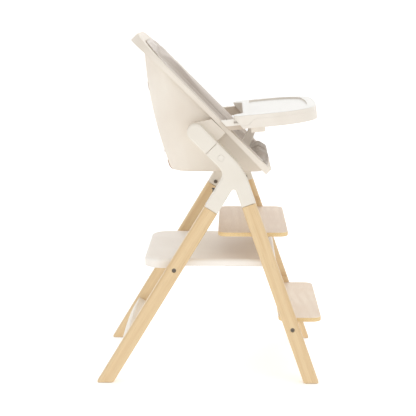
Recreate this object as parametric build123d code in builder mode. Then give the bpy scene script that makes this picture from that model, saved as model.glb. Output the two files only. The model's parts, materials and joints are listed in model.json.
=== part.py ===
from build123d import *
import os
from math import cos, radians, sin

os.makedirs("parts", exist_ok=True)

# A free-standing baby high chair. +Z is up, the child faces -Y, +X is the child's left side.
# The origin is on the floor, at the centre of the chair's footprint box.

# ---------------------------------------------------------------- driving dimensions, millimetres
# legs and hubs
leg_size = 40
leg_edge_radius = 8
leg_centre_x = 240
leg_inner_x = leg_centre_x - leg_size / 2
leg_outer_x = leg_centre_x + leg_size / 2
rear_lean = 31.2
front_lean = 19.4
rear_foot_y = 313
front_foot_y = -305
rear_leg_length = 568
front_leg_length = 530
glide_height = 1.5
tenon_size = 30
tenon_length = 50
rear_tenon_length = 36
socket_clearance = 0.15
arm_width = 45
arm_lean = 45
button_y = -32
button_z = 629.5
arm_seam = 37
capsule_centre = 98
hub_cover_thickness = 3

# steps and platform
step_thickness = 12
groove_height = 12.8
groove_depth = 6
groove_pitch = 31
lower_groove_z = 168
upper_groove_z = 408
step_half_width = 225
step_corner_radius = 26
upper_step_front_y = -217
upper_step_rear_y = -24
lower_step_front_y = -311.5
lower_step_rear_y = -193
platform_half_width = 219.7
platform_front_y = -185
platform_rear_y = 182
platform_top_z = 344
platform_bottom_z = 324.5
platform_wall = 4
platform_bolt_z = 319.5
front_bolt_z = 153

# seat shell: three tilted outlines that share one hinge line under the front rim
shell_line_y = -178
shell_floor_z = 580
opening_tilt = 45
shell_wall = 4
rim_half_width = 222
rim_near = 8
rim_far = 537
rim_thickness = 4
boss_x = 224
capsule_inner_x = 224.3

# tray and armrests
tray_tilt = 5.5
tray_rear_y = -65
tray_rear_z = 742
tray_half_width = 259
tray_depth = 235
tray_front_bow = 18
tray_corner_radius = 125
tray_bottom = -36
seam_depth = -11
horn_x = 203
cutout_half_width = 181
cutout_depth = 26
armrest_inner_x = 204
armrest_outer_x = 238
armrest_top = -12
rail_bottom = -27
armrest_bottom = -39

# fasteners and springs
bolt_radius = 3
bolt_head_radius = 5.5
counterbore_radius = 6.3
counterbore_depth = 5.5
screw_radius = 2
button_radius = 8.6
wire_radius = 0.45


# ---------------------------------------------------------------- places in the side view
def side_point(origin, lean, along, side):
    """Point (y, z) on a bar that starts at origin and leans by lean degrees towards +Y."""
    a = radians(lean)
    return (origin[0] + along * sin(a) + side * cos(a), origin[1] + along * cos(a) - side * sin(a))


def meeting(first, first_lean, second, second_lean):
    """Point where two leaning lines of the side view cross."""
    a, b = radians(first_lean), radians(second_lean)
    dy, dz = second[0] - first[0], second[1] - first[1]
    along = (dy * cos(b) - dz * sin(b)) / (sin(a) * cos(b) - cos(a) * sin(b))
    return (first[0] + along * sin(a), first[1] + along * cos(a))


rear_foot = (rear_foot_y - leg_size / 2 / cos(radians(rear_lean)), 0)
front_foot = (front_foot_y + leg_size / 2 / cos(radians(front_lean)), 0)
arm_origin = (button_y, button_z)


def rear(along, side):
    return side_point(rear_foot, -rear_lean, along, side)


def front(along, side):
    return side_point(front_foot, front_lean, along, side)


def arm(along, side):
    return side_point(arm_origin, arm_lean, along, side)


def leg_plane(foot, lean, x):
    """Plane across a leg at the floor: local X is lateral and local Z runs up the leg."""
    return Plane(
        origin=(x, foot[0], foot[1]),
        x_dir=(1, 0, 0),
        z_dir=(0, sin(radians(lean)), cos(radians(lean))),
    )


rear_plane = leg_plane(rear_foot, -rear_lean, leg_centre_x)
front_plane = leg_plane(front_foot, front_lean, leg_centre_x)

rear_bolt_along = platform_bolt_z / cos(radians(rear_lean))
front_bolt_along = front_bolt_z / cos(radians(front_lean))
rear_bolt = rear(rear_bolt_along, 0)
front_bolt = front(front_bolt_along, 0)
dowel_radius = 4
dowel_place = front(335 / cos(radians(front_lean)), 0)
rear_socket_bolt = rear(rear_leg_length + 13.5, 0)
front_socket_bolt = front(front_leg_length + 13.5, 0)

finished = []


def finish(piece, name):
    """Labels a finished piece and keeps it for writing."""
    piece.part.label = name
    finished.append(piece.part)


def finish_pair(piece, name):
    """Keeps the left piece as it is, and its mirror image as the right one."""
    with BuildPart() as opposite:
        mirror(piece.part, about=Plane.YZ)
    finish(piece, name + "_left")
    finish(opposite, name + "_right")


def cross_hole(x_from, x_to, place, radius):
    """Round hole along X through the current part."""
    with BuildSketch(Plane.YZ.offset(x_from)) as section:
        with Locations(place):
            Circle(radius)
    extrude(section.sketch, amount=x_to - x_from, mode=Mode.SUBTRACT)


def square_bar(plane, size, low, high, radius, mode=Mode.ADD):
    """Square bar along a leg's axis, with rounded long edges."""
    with BuildSketch(plane.offset(low)) as section:
        RectangleRounded(size, size, radius)
    extrude(section.sketch, amount=high - low, mode=mode)


# ---------------------------------------------------------------- legs
stretcher_low = 105
stretcher_height = 40
stretcher_depth = 28
stretcher_bow = 4
tenon_height = 26
tenon_depth = 14
tenon_reach = 15

with BuildPart() as rear_leg:
    square_bar(rear_plane, leg_size, -30, rear_leg_length, leg_edge_radius)
    square_bar(rear_plane, tenon_size, rear_leg_length, rear_leg_length + rear_tenon_length, 3)
    with Locations((leg_centre_x, rear_foot_y, glide_height - 50)):
        Box(100, 150, 100, mode=Mode.SUBTRACT)
    fillet(edges().group_by(Axis.Z)[0], 1)
    cross_hole(leg_inner_x - 1, leg_outer_x + 1, rear_bolt, bolt_radius + 0.2)
    cross_hole(leg_outer_x - counterbore_depth, leg_outer_x + 1, rear_bolt, counterbore_radius)
    cross_hole(leg_inner_x, leg_inner_x + 32, rear_socket_bolt, bolt_radius + 0.05)
    with BuildSketch(rear_plane.offset(stretcher_low + (stretcher_height - tenon_height) / 2 - 0.1)):
        with Locations((leg_inner_x - leg_centre_x + tenon_reach / 2, 0)):
            Rectangle(tenon_reach + 0.4, tenon_depth + 0.2)
    extrude(amount=tenon_height + 0.2, mode=Mode.SUBTRACT)
finish_pair(rear_leg, "rear_leg")

groove_heights = [
    lower_groove_z,
    lower_groove_z + groove_pitch,
    upper_groove_z,
    upper_groove_z + groove_pitch,
]

with BuildPart() as front_leg:
    square_bar(front_plane, leg_size, -30, front_leg_length, leg_edge_radius)
    square_bar(front_plane, tenon_size, front_leg_length, front_leg_length + tenon_length, 3)
    with Locations((leg_centre_x, front_foot_y, glide_height - 50)):
        Box(100, 150, 100, mode=Mode.SUBTRACT)
    fillet(edges().group_by(Axis.Z)[0], 1)
    cross_hole(leg_inner_x - 1, leg_outer_x + 1, front_bolt, bolt_radius + 0.2)
    cross_hole(leg_outer_x - counterbore_depth, leg_outer_x + 1, front_bolt, counterbore_radius)
    cross_hole(leg_inner_x, leg_inner_x + 32, front_socket_bolt, bolt_radius + 0.05)
    cross_hole(leg_inner_x - 1, leg_inner_x + 15, dowel_place, dowel_radius + 0.05)
    for groove_z in groove_heights:
        with Locations((leg_inner_x, (front_foot_y + upper_step_rear_y) / 2, groove_z - 0.4)):
            Box(2 * groove_depth, 400, groove_height, align=(Align.CENTER, Align.CENTER, Align.MIN),
                mode=Mode.SUBTRACT)
finish_pair(front_leg, "front_leg")

glide_inset = 3
with BuildPart() as foot_glides:
    for foot, lean in ((rear_foot, rear_lean), (front_foot, front_lean)):
        for side in (-1, 1):
            with BuildSketch():
                with Locations((side * leg_centre_x, foot[0])):
                    RectangleRounded(
                        leg_size - 2 * glide_inset,
                        leg_size / cos(radians(lean)) - 2 * glide_inset,
                        5,
                    )
            extrude(amount=glide_height)
finish(foot_glides, "foot_glides")

# ---------------------------------------------------------------- hubs and sockets
rear_top = rear(rear_leg_length, leg_size / 2)
rear_low = rear(rear_leg_length, -leg_size / 2)
front_top = front(front_leg_length, leg_size / 2)
front_low = front(front_leg_length, -leg_size / 2)
seam_rear = arm(arm_seam, arm_width / 2)
seam_front = arm(arm_seam, -arm_width / 2)
armpit = meeting(rear_top, -rear_lean, seam_rear, arm_lean)
crotch = meeting(rear_low, -rear_lean, front_top, front_lean)
shoulder = meeting(front_low, front_lean, seam_front, arm_lean)
lobe_along = rear_leg_length + 62
lobe_radius = 21
hub_edge_radius = 5
crotch_radius = 7
armpit_radius = 30
shoulder_radius = 180

# The sloping arm of each hub is a pocket that the tongue of the seat mount slides into.
tongue_width = 30
tongue_inner_x = 238
tongue_outer_x = 255
tongue_length = 55
pocket_gap = 0.4


def hub_outline():
    """Y-shaped outline of a hub and its rear socket in the side view."""
    with BuildLine() as border:
        Polyline(seam_rear, armpit, rear_top, rear_low, crotch, front_top, front_low, shoulder,
                 seam_front, close=True)
    make_face(border.edges())
    fillet(vertices().sort_by_distance(armpit)[0], armpit_radius)
    fillet(vertices().sort_by_distance(crotch)[0], crotch_radius)
    fillet(vertices().sort_by_distance(shoulder)[0], shoulder_radius)


def socket_region(gap):
    """Part of the outline that belongs to the rear socket: below a round lobe of the hub."""
    with BuildLine() as border:
        Polyline(
            rear(rear_leg_length - 5, leg_size),
            rear(rear_leg_length - 5, -leg_size),
            rear(lobe_along - 12 - gap, -leg_size),
            rear(lobe_along - 12 - gap, -lobe_radius),
            rear(lobe_along + 9, lobe_radius),
            rear(lobe_along + 9, leg_size),
            close=True,
        )
    make_face(border.edges())
    with Locations(rear(lobe_along, 0)):
        Circle(lobe_radius + gap, mode=Mode.SUBTRACT)


with BuildPart() as hub:
    with BuildSketch(Plane.YZ.offset(leg_inner_x)):
        hub_outline()
    extrude(amount=leg_size)
    fillet(faces().sort_by(Axis.X)[-1].edges(), hub_edge_radius)
    fillet(faces().sort_by(Axis.X)[0].edges(), 1.5)
    # the rear socket is a piece of its own under the lobe
    with BuildSketch(Plane.YZ.offset(leg_inner_x - 1)):
        socket_region(0)
    extrude(amount=leg_size + 2, mode=Mode.SUBTRACT)
    # room for the neck of the rear socket
    square_bar(rear_plane, 28.4, rear_leg_length, lobe_along + 20, 2, mode=Mode.SUBTRACT)
    # front leg's socket
    square_bar(front_plane, tenon_size + 2 * socket_clearance, front_leg_length - 2,
               front_leg_length + tenon_length + 1, 3, mode=Mode.SUBTRACT)
    # pocket of the arm
    with BuildSketch(Plane.YZ.offset(tongue_inner_x - pocket_gap)):
        with BuildLine():
            Polyline(
                arm(arm_seam + 1, tongue_width / 2 + pocket_gap),
                arm(arm_seam + 1, -tongue_width / 2 - pocket_gap),
                arm(arm_seam - tongue_length - 2, -tongue_width / 2 - pocket_gap),
                arm(arm_seam - tongue_length - 2, tongue_width / 2 + pocket_gap),
                close=True,
            )
        make_face()
    extrude(amount=tongue_outer_x - tongue_inner_x + 2 * pocket_gap, mode=Mode.SUBTRACT)
    cross_hole(tongue_outer_x - 1, leg_outer_x + 1, arm_origin, button_radius + 0.3)
    # hollow behind the inner cover
    with BuildSketch(Plane.YZ.offset(leg_inner_x - 1)):
        with Locations(arm(-42, 3)):
            Circle(15.4)
    extrude(amount=1 + hub_cover_thickness + 0.2, mode=Mode.SUBTRACT)
    with BuildSketch(Plane.YZ.offset(leg_inner_x)):
        with Locations(arm(-42, 3)):
            Circle(12)
    extrude(amount=leg_size - 7, mode=Mode.SUBTRACT)
    cross_hole(leg_inner_x - 1, leg_inner_x + 6, front_socket_bolt, bolt_radius + 0.2)
finish_pair(hub, "hub")

with BuildPart() as hub_inner_cover:
    with BuildSketch(Plane.YZ.offset(leg_inner_x)):
        with Locations(arm(-42, 3)):
            Circle(15.2)
    extrude(amount=hub_cover_thickness)
    fillet(faces().sort_by(Axis.X)[0].edges(), 0.8)
finish_pair(hub_inner_cover, "hub_inner_cover")

with BuildPart() as rear_leg_socket:
    square_bar(rear_plane, leg_size, rear_leg_length, lobe_along + 9, 1.5)
    fillet(faces().sort_by(Axis.X)[-1].edges(), hub_edge_radius - 0.5)
    with BuildSketch(Plane.YZ.offset(leg_inner_x - 1)):
        with Locations(rear(lobe_along, 0)):
            Circle(lobe_radius + 0.1)
        with BuildLine():
            Polyline(
                rear(lobe_along - 12, -leg_size),
                rear(lobe_along - 12, -lobe_radius + 4),
                rear(lobe_along + 20, 0),
                rear(lobe_along + 20, -leg_size),
                close=True,
            )
        make_face()
    extrude(amount=leg_size + 2, mode=Mode.SUBTRACT)
    # neck that plugs into the hub
    square_bar(rear_plane, 28, lobe_along - 24, lobe_along + 19, 2)
    square_bar(rear_plane, tenon_size + 2 * socket_clearance, rear_leg_length - 2,
               rear_leg_length + rear_tenon_length + 1, 3, mode=Mode.SUBTRACT)
    square_bar(rear_plane, tenon_size - 8, rear_leg_length, lobe_along + 20, 2, mode=Mode.SUBTRACT)
    cross_hole(leg_inner_x - 1, leg_inner_x + 6, rear_socket_bolt, bolt_radius + 0.2)
finish_pair(rear_leg_socket, "rear_leg_socket")

# ---------------------------------------------------------------- leg fasteners
def leg_bolt(place, head_x, tip_x):
    """Hex socket bolt along X, its head at head_x."""
    inward = 1 if tip_x > head_x else -1
    with BuildSketch(Plane.YZ.offset(head_x)) as section:
        with Locations(place):
            Circle(bolt_head_radius)
    extrude(section.sketch, amount=inward * 3)
    with BuildSketch(Plane.YZ.offset(head_x)) as section:
        with Locations(place):
            Circle(bolt_radius)
    extrude(section.sketch, amount=tip_x - head_x)
    with BuildSketch(Plane.YZ.offset(head_x)) as section:
        with Locations(place):
            RegularPolygon(2.5, 6)
    extrude(section.sketch, amount=inward * 2, mode=Mode.SUBTRACT)


bolt_head_x = leg_outer_x - counterbore_depth + 3.1
bolt_tip_x = 188
socket_bolt_head_x = leg_inner_x - 3.1

with BuildPart() as leg_bolts:
    leg_bolt(rear_bolt, bolt_head_x, bolt_tip_x)
    leg_bolt(front_bolt, bolt_head_x, bolt_tip_x)
    mirror(about=Plane.YZ)
finish(leg_bolts, "leg_bolts")

with BuildPart() as socket_bolts:
    leg_bolt(rear_socket_bolt, socket_bolt_head_x, leg_inner_x + 30)
    leg_bolt(front_socket_bolt, socket_bolt_head_x, leg_inner_x + 30)
    mirror(about=Plane.YZ)
finish(socket_bolts, "socket_bolts")

nut_radius = 6
nut_length = 9
nut_x = 204
barrel_nut_x = 194
with BuildPart() as bolt_nuts:
    with BuildSketch(Plane.YZ.offset(nut_x)):
        with Locations(rear_bolt):
            RegularPolygon(nut_radius, 6)
            Circle(bolt_radius + 0.05, mode=Mode.SUBTRACT)
    extrude(amount=-nut_length)
    with BuildSketch(front_plane.offset(front_bolt_along - 9)):
        with Locations((barrel_nut_x - leg_centre_x, 0)):
            Circle(5)
    extrude(amount=18)
    cross_hole(barrel_nut_x - 6, barrel_nut_x + 6, front_bolt, bolt_radius + 0.05)
    mirror(about=Plane.YZ)
finish(bolt_nuts, "bolt_nuts")

# ---------------------------------------------------------------- seat catches behind the hubs
catch_thickness = 2
catch_place = rear(rear_leg_length + 52, leg_size / 2)
with BuildPart() as seat_catches:
    with BuildSketch(Plane.YZ.offset(leg_inner_x - catch_thickness - 0.2)):
        with Locations(catch_place):
            Rectangle(15, 4, rotation=4)
            with Locations((3.5, -5.5)):
                Rectangle(4.5, 12, rotation=4)
    extrude(amount=catch_thickness)
    fillet(edges().filter_by(Axis.X), 0.8)
    mirror(about=Plane.YZ)
finish(seat_catches, "seat_catches")


# ---------------------------------------------------------------- steps
def step_board(z, front_y, rear_y):
    """Plywood board that slides into a pair of leg grooves."""
    with BuildSketch(Plane.XY.offset(z)) as outline:
        with Locations((0, (front_y + rear_y) / 2)):
            RectangleRounded(2 * step_half_width, rear_y - front_y, step_corner_radius)
    extrude(outline.sketch, amount=step_thickness)
    fillet(faces().sort_by(Axis.Z)[-1].edges(), 1.5)
    fillet(faces().sort_by(Axis.Z)[0].edges(), 1.5)


with BuildPart() as upper_step:
    step_board(upper_groove_z, upper_step_front_y, upper_step_rear_y)
finish(upper_step, "upper_step")

with BuildPart() as lower_step:
    step_board(lower_groove_z, lower_step_front_y, lower_step_rear_y)
finish(lower_step, "lower_step")

bumper_x = 200
bumper_height = 3.5
with BuildPart() as step_bumpers:
    with BuildSketch(Plane.XY.offset(upper_groove_z)):
        for bumper_y in (-50, -65):
            for side in (-1, 1):
                with Locations((side * bumper_x, bumper_y)):
                    Circle(5.5)
    extrude(amount=-bumper_height)
    fillet(edges().group_by(Axis.Z)[0], 1.5)
finish(step_bumpers, "step_bumpers")

pin_y = -164
with BuildPart() as step_stop_pins:
    with BuildSketch(Plane.XY.offset(upper_groove_z)):
        for side in (-1, 1):
            with Locations((side * bumper_x, pin_y)):
                Circle(3)
    extrude(amount=-5)
    fillet(edges().group_by(Axis.Z)[0], 1)
finish(step_stop_pins, "step_stop_pins")

# ---------------------------------------------------------------- platform between the legs
platform_length = platform_rear_y - platform_front_y
platform_mid_y = (platform_rear_y + platform_front_y) / 2
lug_radius = 13
rib_thickness = 3


def platform_outline(inset):
    """Plan outline with large rear corners and smaller front corners."""
    with Locations((0, platform_mid_y)):
        Rectangle(2 * (platform_half_width - inset), platform_length - 2 * inset)
    fillet(vertices().group_by(Axis.Y)[-1], 56 - inset)
    fillet(vertices().group_by(Axis.Y)[0], 24 - inset)


with BuildPart() as platform:
    with BuildSketch(Plane.XY.offset(platform_bottom_z)):
        platform_outline(0)
    extrude(amount=platform_top_z - platform_bottom_z)
    fillet(faces().sort_by(Axis.Z)[-1].edges(), 9)
    # deeper skirt round the rear end
    with BuildSketch(Plane.XY.offset(platform_bottom_z - 6.5)):
        platform_outline(0.5)
        with Locations((0, platform_mid_y - 75)):
            Rectangle(500, platform_length, mode=Mode.SUBTRACT)
    extrude(amount=8)
    with BuildSketch(Plane.XY.offset(platform_bottom_z - 8)):
        platform_outline(platform_wall)
    extrude(amount=platform_top_z - platform_bottom_z + 8 - platform_wall, mode=Mode.SUBTRACT)
    # ribs under the deck
    with BuildSketch(Plane.XY.offset(platform_bottom_z + 0.3)):
        with Locations((0, platform_mid_y)):
            with GridLocations(110, 0, 3, 1):
                Rectangle(rib_thickness, platform_length - 6)
            with GridLocations(0, 120, 1, 3):
                Rectangle(2 * platform_half_width - 6, rib_thickness)
    extrude(amount=platform_top_z - platform_bottom_z - 3)
    # lugs that the rear leg bolts go through
    with BuildSketch(Plane.YZ.offset(nut_x)):
        with Locations(rear_bolt):
            Circle(lug_radius)
        with Locations((rear_bolt[0], rear_bolt[1] + 10)):
            Rectangle(2 * lug_radius, 20)
    extrude(amount=platform_half_width - nut_x)
    mirror(about=Plane.YZ)
    for side in (-1, 1):
        cross_hole(side * (nut_x - 1), side * (platform_half_width + 1), rear_bolt, bolt_radius + 0.2)
        cross_hole(side * (nut_x - nut_length - 1), side * nut_x, rear_bolt, nut_radius + 1)
        cross_hole(side * (platform_half_width - 12), side * (platform_half_width + 1), dowel_place,
                   dowel_radius + 0.05)
finish(platform, "platform")

cover_depth = 5
with BuildPart() as platform_cover:
    with BuildSketch(Plane.XY.offset(platform_bottom_z)):
        with Locations((0, -108)):
            RectangleRounded(2 * 201, 142, 12)
    extrude(amount=-cover_depth)
    fillet(faces().sort_by(Axis.Z)[0].edges(), 1.5)
    with BuildSketch(Plane.XY.offset(platform_bottom_z)):
        with Locations((0, -108)):
            RectangleRounded(2 * 198, 136, 9)
    extrude(amount=-cover_depth + 2, mode=Mode.SUBTRACT)
    for x in (-165, 165):
        for y in (-165, -55):
            with Locations((x, y, platform_bottom_z - cover_depth)):
                Cylinder(5, cover_depth, align=(Align.CENTER, Align.CENTER, Align.MIN))
                Cylinder(screw_radius + 0.1, cover_depth, align=(Align.CENTER, Align.CENTER, Align.MIN),
                         mode=Mode.SUBTRACT)
finish(platform_cover, "platform_cover")

with BuildPart() as cover_screws:
    for x in (-165, 165):
        for y in (-165, -55):
            with Locations((x, y, platform_bottom_z - cover_depth)):
                Cylinder(4, 1.8, align=(Align.CENTER, Align.CENTER, Align.MAX))
                Cylinder(screw_radius, cover_depth, align=(Align.CENTER, Align.CENTER, Align.MIN))
finish(cover_screws, "cover_screws")

with BuildPart() as platform_dowels:
    with BuildSketch(Plane.YZ.offset(platform_half_width - 10)):
        with Locations(dowel_place):
            Circle(dowel_radius)
    extrude(amount=24)
    mirror(about=Plane.YZ)
finish(platform_dowels, "platform_dowels")

# ---------------------------------------------------------------- stretchers
with BuildPart() as rear_stretcher:
    middle_plane = leg_plane(rear_foot, -rear_lean, 0)
    with BuildSketch(middle_plane.offset(stretcher_low)):
        with BuildLine():
            low_side = Line((-leg_inner_x + 0.3, -stretcher_depth / 2),
                            (leg_inner_x - 0.3, -stretcher_depth / 2))
            end_side = Line(low_side @ 1, (leg_inner_x - 0.3, stretcher_depth / 2))
            bow = ThreePointArc(end_side @ 1, (0, stretcher_depth / 2 + stretcher_bow),
                                (-leg_inner_x + 0.3, stretcher_depth / 2))
            Line(bow @ 1, low_side @ 0)
        make_face()
    extrude(amount=stretcher_height)
    fillet(edges().filter_by(Axis.X), 4)
    fillet(edges().filter_by(GeomType.CIRCLE).sort_by(SortBy.LENGTH)[-2:], 4)
    with BuildSketch(middle_plane.offset(stretcher_low + (stretcher_height - tenon_height) / 2)):
        Rectangle(2 * (leg_inner_x + tenon_reach - 0.5), tenon_depth)
    extrude(amount=tenon_height)
finish(rear_stretcher, "rear_stretcher")

front_stretcher_height = 22
front_stretcher_depth = 22
with BuildPart() as front_stretcher:
    stretcher_foot = front_bolt_along - front_stretcher_height / 2
    with BuildSketch(leg_plane(front_foot, front_lean, 0).offset(stretcher_foot)):
        Rectangle(2 * leg_inner_x - 0.6, front_stretcher_depth)
    extrude(amount=front_stretcher_height)
    fillet(edges().filter_by(Axis.X), 4)
    for side in (-1, 1):
        cross_hole(side * (bolt_tip_x - 2), side * leg_inner_x, front_bolt, bolt_radius + 0.2)
        with BuildSketch(front_plane.offset(front_bolt_along - 20)):
            with Locations((side * barrel_nut_x - leg_centre_x, 0)):
                Circle(5.1)
        extrude(amount=30, mode=Mode.SUBTRACT)
finish(front_stretcher, "front_stretcher")


# ---------------------------------------------------------------- seat shell
def tilted_plane(tilt, rise=0):
    """Plane through the shell's hinge line; local Y runs rearwards and up, local Z is its normal."""
    a = radians(tilt)
    plane = Plane(origin=(0, shell_line_y, shell_floor_z), x_dir=(1, 0, 0), z_dir=(0, -sin(a), cos(a)))
    return plane.offset(rise)


opening_plane = tilted_plane(opening_tilt)
opening_axis = Axis((0, 0, 0), opening_plane.z_dir)

# tilt, half width, near end, far end, near corner radius, far corner radius
bucket_sections = [
    (0, 168, 30, 286, 34, 60),
    (22.5, 190, 24, 357, 44, 84),
    (45, 205, 20, 513, 58, 112),
]


def bucket(inset, floor_rise=0, proud=0):
    """Solid that fills the bucket, drawn in by inset all round, from its floor to its opening."""
    outlines = []
    for tilt, half_width, near, far, near_radius, far_radius in bucket_sections:
        rise = floor_rise if tilt == 0 else 0
        if tilt == opening_tilt:
            rise = proud
        with BuildSketch(tilted_plane(tilt, rise)) as outline:
            with Locations((0, (near + far) / 2)):
                Rectangle(2 * (half_width - inset), far - near - 2 * inset)
            fillet(vertices().group_by(Axis.Y)[0], near_radius - inset)
            fillet(vertices().group_by(Axis.Y)[-1], far_radius - inset)
        outlines.append(outline.sketch)
    loft(outlines)


def rim_outline(inset):
    """Outline of the rim on the opening plane."""
    with Locations((0, (rim_near + rim_far) / 2)):
        Rectangle(2 * (rim_half_width - inset), rim_far - rim_near - 2 * inset)
    fillet(vertices().group_by(Axis.Y)[0], 76 - inset)
    fillet(vertices().group_by(Axis.Y)[-1], 132 - inset)


slot_x = 55
slot_width = 32
slot_height = 9
slot_heights = (806, 752)
waist_slot_x = 98
waist_slot_z = 640
crotch_strap_y = -36
boss_screw_x = 205
mount_screw_places = [arm(capsule_centre - 4, 0), arm(arm_seam + 14, 0)]
armrest_screw_x = 211.5
armrest_screw_places = (178, 197)

with BuildPart() as rim:
    with BuildSketch(opening_plane):
        rim_outline(0)
    extrude(amount=-40)
    fillet(faces().sort_by(opening_axis)[-1].edges(), 3)
    with BuildSketch(opening_plane.offset(-rim_thickness)):
        rim_outline(rim_thickness)
    extrude(amount=-40, mode=Mode.SUBTRACT)
    # the lip is deep at the top and the front, and shallow along the sides
    with BuildSketch(Plane(
        origin=(-300, shell_line_y, shell_floor_z),
        x_dir=opening_plane.y_dir,
        z_dir=(1, 0, 0),
    )):
        with BuildLine():
            lip = Spline((-10, -24), (40, -17), (110, -14), (400, -14), (470, -18), (560, -30))
            Polyline(lip @ 1, (560, -70), (-10, -70), lip @ 0)
        make_face()
    extrude(amount=600, mode=Mode.SUBTRACT)

with BuildPart() as cavity:
    bucket(shell_wall, shell_wall, 2)
    fillet(edges().group_by(Axis.Z)[0], 12)

with BuildPart() as boss:
    with BuildSketch(Plane.YZ.offset(150)):
        with BuildLine():
            Polyline(
                arm(arm_seam + 0.4, arm_width / 2),
                arm(capsule_centre, arm_width / 2),
                arm(capsule_centre, 0),
                arm(capsule_centre + 16, -17),
                arm(capsule_centre - 8, -54),
                arm(arm_seam + 0.4, -56),
                close=True,
            )
        make_face()
        with Locations(arm(capsule_centre, 0)):
            Circle(arm_width / 2)
    extrude(amount=boss_x - 150)
    fillet(faces().sort_by(Axis.X)[-1].edges(), 2)
    mirror(about=Plane.YZ)

with BuildPart() as seat_shell:
    bucket(0)
    fillet(edges().group_by(Axis.Z)[0], 16)
    add(boss.part)
    add(rim.part)
    add(cavity.part, mode=Mode.SUBTRACT)
    for slot_z in slot_heights:
        with Locations((-slot_x, 150, slot_z), (slot_x, 150, slot_z)):
            Box(slot_width, 80, slot_height, mode=Mode.SUBTRACT)
    with Locations((-waist_slot_x, 120, waist_slot_z), (waist_slot_x, 120, waist_slot_z)):
        Box(slot_height, 60, slot_width, mode=Mode.SUBTRACT)
    with Locations((0, crotch_strap_y, shell_floor_z)):
        Box(slot_width, slot_height, 20, mode=Mode.SUBTRACT)
    for side in (-1, 1):
        for place in mount_screw_places:
            cross_hole(side * 150, side * 230, place, screw_radius + 0.2)
            cross_hole(side * 150, side * boss_screw_x, place, 5)
    with BuildSketch(opening_plane):
        for along in armrest_screw_places:
            with Locations((-armrest_screw_x, along), (armrest_screw_x, along)):
                Circle(screw_radius + 0.15)
    extrude(amount=-8, mode=Mode.SUBTRACT)
finish(seat_shell, "seat_shell")

# the trim strip follows the rear edge of the floor, just clear of the shell
strip_gap = 0.3
strip_thickness = 2
with BuildPart() as strip_inside:
    bucket(-strip_gap, -strip_gap)
    fillet(edges().group_by(Axis.Z)[0], 16 + strip_gap)
with BuildPart() as rear_edge_strip:
    bucket(-strip_gap - strip_thickness, -strip_gap - strip_thickness)
    fillet(edges().group_by(Axis.Z)[0], 16 + strip_gap + strip_thickness)
    add(strip_inside.part, mode=Mode.SUBTRACT)
    with Locations((0, 88, shell_floor_z - 10)):
        Box(208, 60, 34, align=(Align.CENTER, Align.MIN, Align.MIN), mode=Mode.INTERSECT)
finish(rear_edge_strip, "rear_edge_strip")

# ---------------------------------------------------------------- seat mounts and release buttons
mount_seam = arm_seam + 0.3
with BuildPart() as seat_mount:
    with BuildSketch(Plane.YZ.offset(capsule_inner_x)):
        with BuildLine():
            Polyline(
                arm(mount_seam, arm_width / 2),
                arm(capsule_centre, arm_width / 2),
                arm(capsule_centre, -arm_width / 2),
                arm(mount_seam, -arm_width / 2),
                close=True,
            )
        make_face()
        with Locations(arm(capsule_centre, 0)):
            Circle(arm_width / 2)
    extrude(amount=leg_outer_x - capsule_inner_x)
    seam_middle = Vector(leg_outer_x, *arm(mount_seam, 0))
    outer_edges = faces().sort_by(Axis.X)[-1].edges().sort_by_distance(seam_middle)[1:]
    fillet(outer_edges, hub_edge_radius)
    with BuildSketch(Plane.YZ.offset(tongue_inner_x)):
        with BuildLine():
            Polyline(
                arm(mount_seam + 2, tongue_width / 2),
                arm(mount_seam + 2, -tongue_width / 2),
                arm(arm_seam - tongue_length, -tongue_width / 2),
                arm(arm_seam - tongue_length, tongue_width / 2),
                close=True,
            )
        make_face()
    extrude(amount=tongue_outer_x - tongue_inner_x)
    cross_hole(tongue_inner_x + 2, tongue_outer_x + 1, arm_origin, button_radius + 0.3)
    for place in mount_screw_places:
        cross_hole(capsule_inner_x - 1, capsule_inner_x + 20, place, screw_radius + 0.05)
finish_pair(seat_mount, "seat_mount")

with BuildPart() as seat_mount_screws:
    for place in mount_screw_places:
        with BuildSketch(Plane.YZ.offset(boss_screw_x - 0.1)):
            with Locations(place):
                Circle(4)
        extrude(amount=-2.5)
        with BuildSketch(Plane.YZ.offset(boss_screw_x - 1)):
            with Locations(place):
                Circle(screw_radius)
        extrude(amount=capsule_inner_x + 19 - boss_screw_x)
    mirror(about=Plane.YZ)
finish(seat_mount_screws, "seat_mount_screws")

button_back_x = 248
button_face_x = leg_outer_x + 0.6
with BuildPart() as release_button:
    with BuildSketch(Plane.YZ.offset(button_back_x)):
        with Locations(arm_origin):
            Circle(button_radius)
    extrude(amount=button_face_x - button_back_x)
    fillet(faces().sort_by(Axis.X)[-1].edges(), 0.8)
    cross_hole(button_face_x - 0.5, button_face_x + 1, arm_origin, button_radius - 2.2)
    cross_hole(button_back_x - 1, button_back_x + 4, arm_origin, 6)
finish_pair(release_button, "release_button")

with BuildPart() as button_spring:
    with BuildLine() as coil:
        Helix(2.1, 10.6, 5, center=(tongue_inner_x + 2.7, *arm_origin), direction=(1, 0, 0))
    with BuildSketch(Plane(origin=coil.line @ 0, z_dir=coil.line % 0)):
        Circle(wire_radius)
    sweep()
finish_pair(button_spring, "button_spring")

# ---------------------------------------------------------------- armrests
tray_a = radians(tray_tilt)
tray_plane = Plane(
    origin=(0, tray_rear_y, tray_rear_z),
    x_dir=(1, 0, 0),
    z_dir=(0, sin(tray_a), cos(tray_a)),
)
groove_floor_x = armrest_outer_x - 5


def tray_side_plane(x):
    """Side view of the tray at x: local X runs rearwards along the tray, local Y is its normal."""
    return Plane(origin=(x, tray_rear_y, tray_rear_z), x_dir=tray_plane.y_dir, z_dir=(1, 0, 0))


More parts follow.
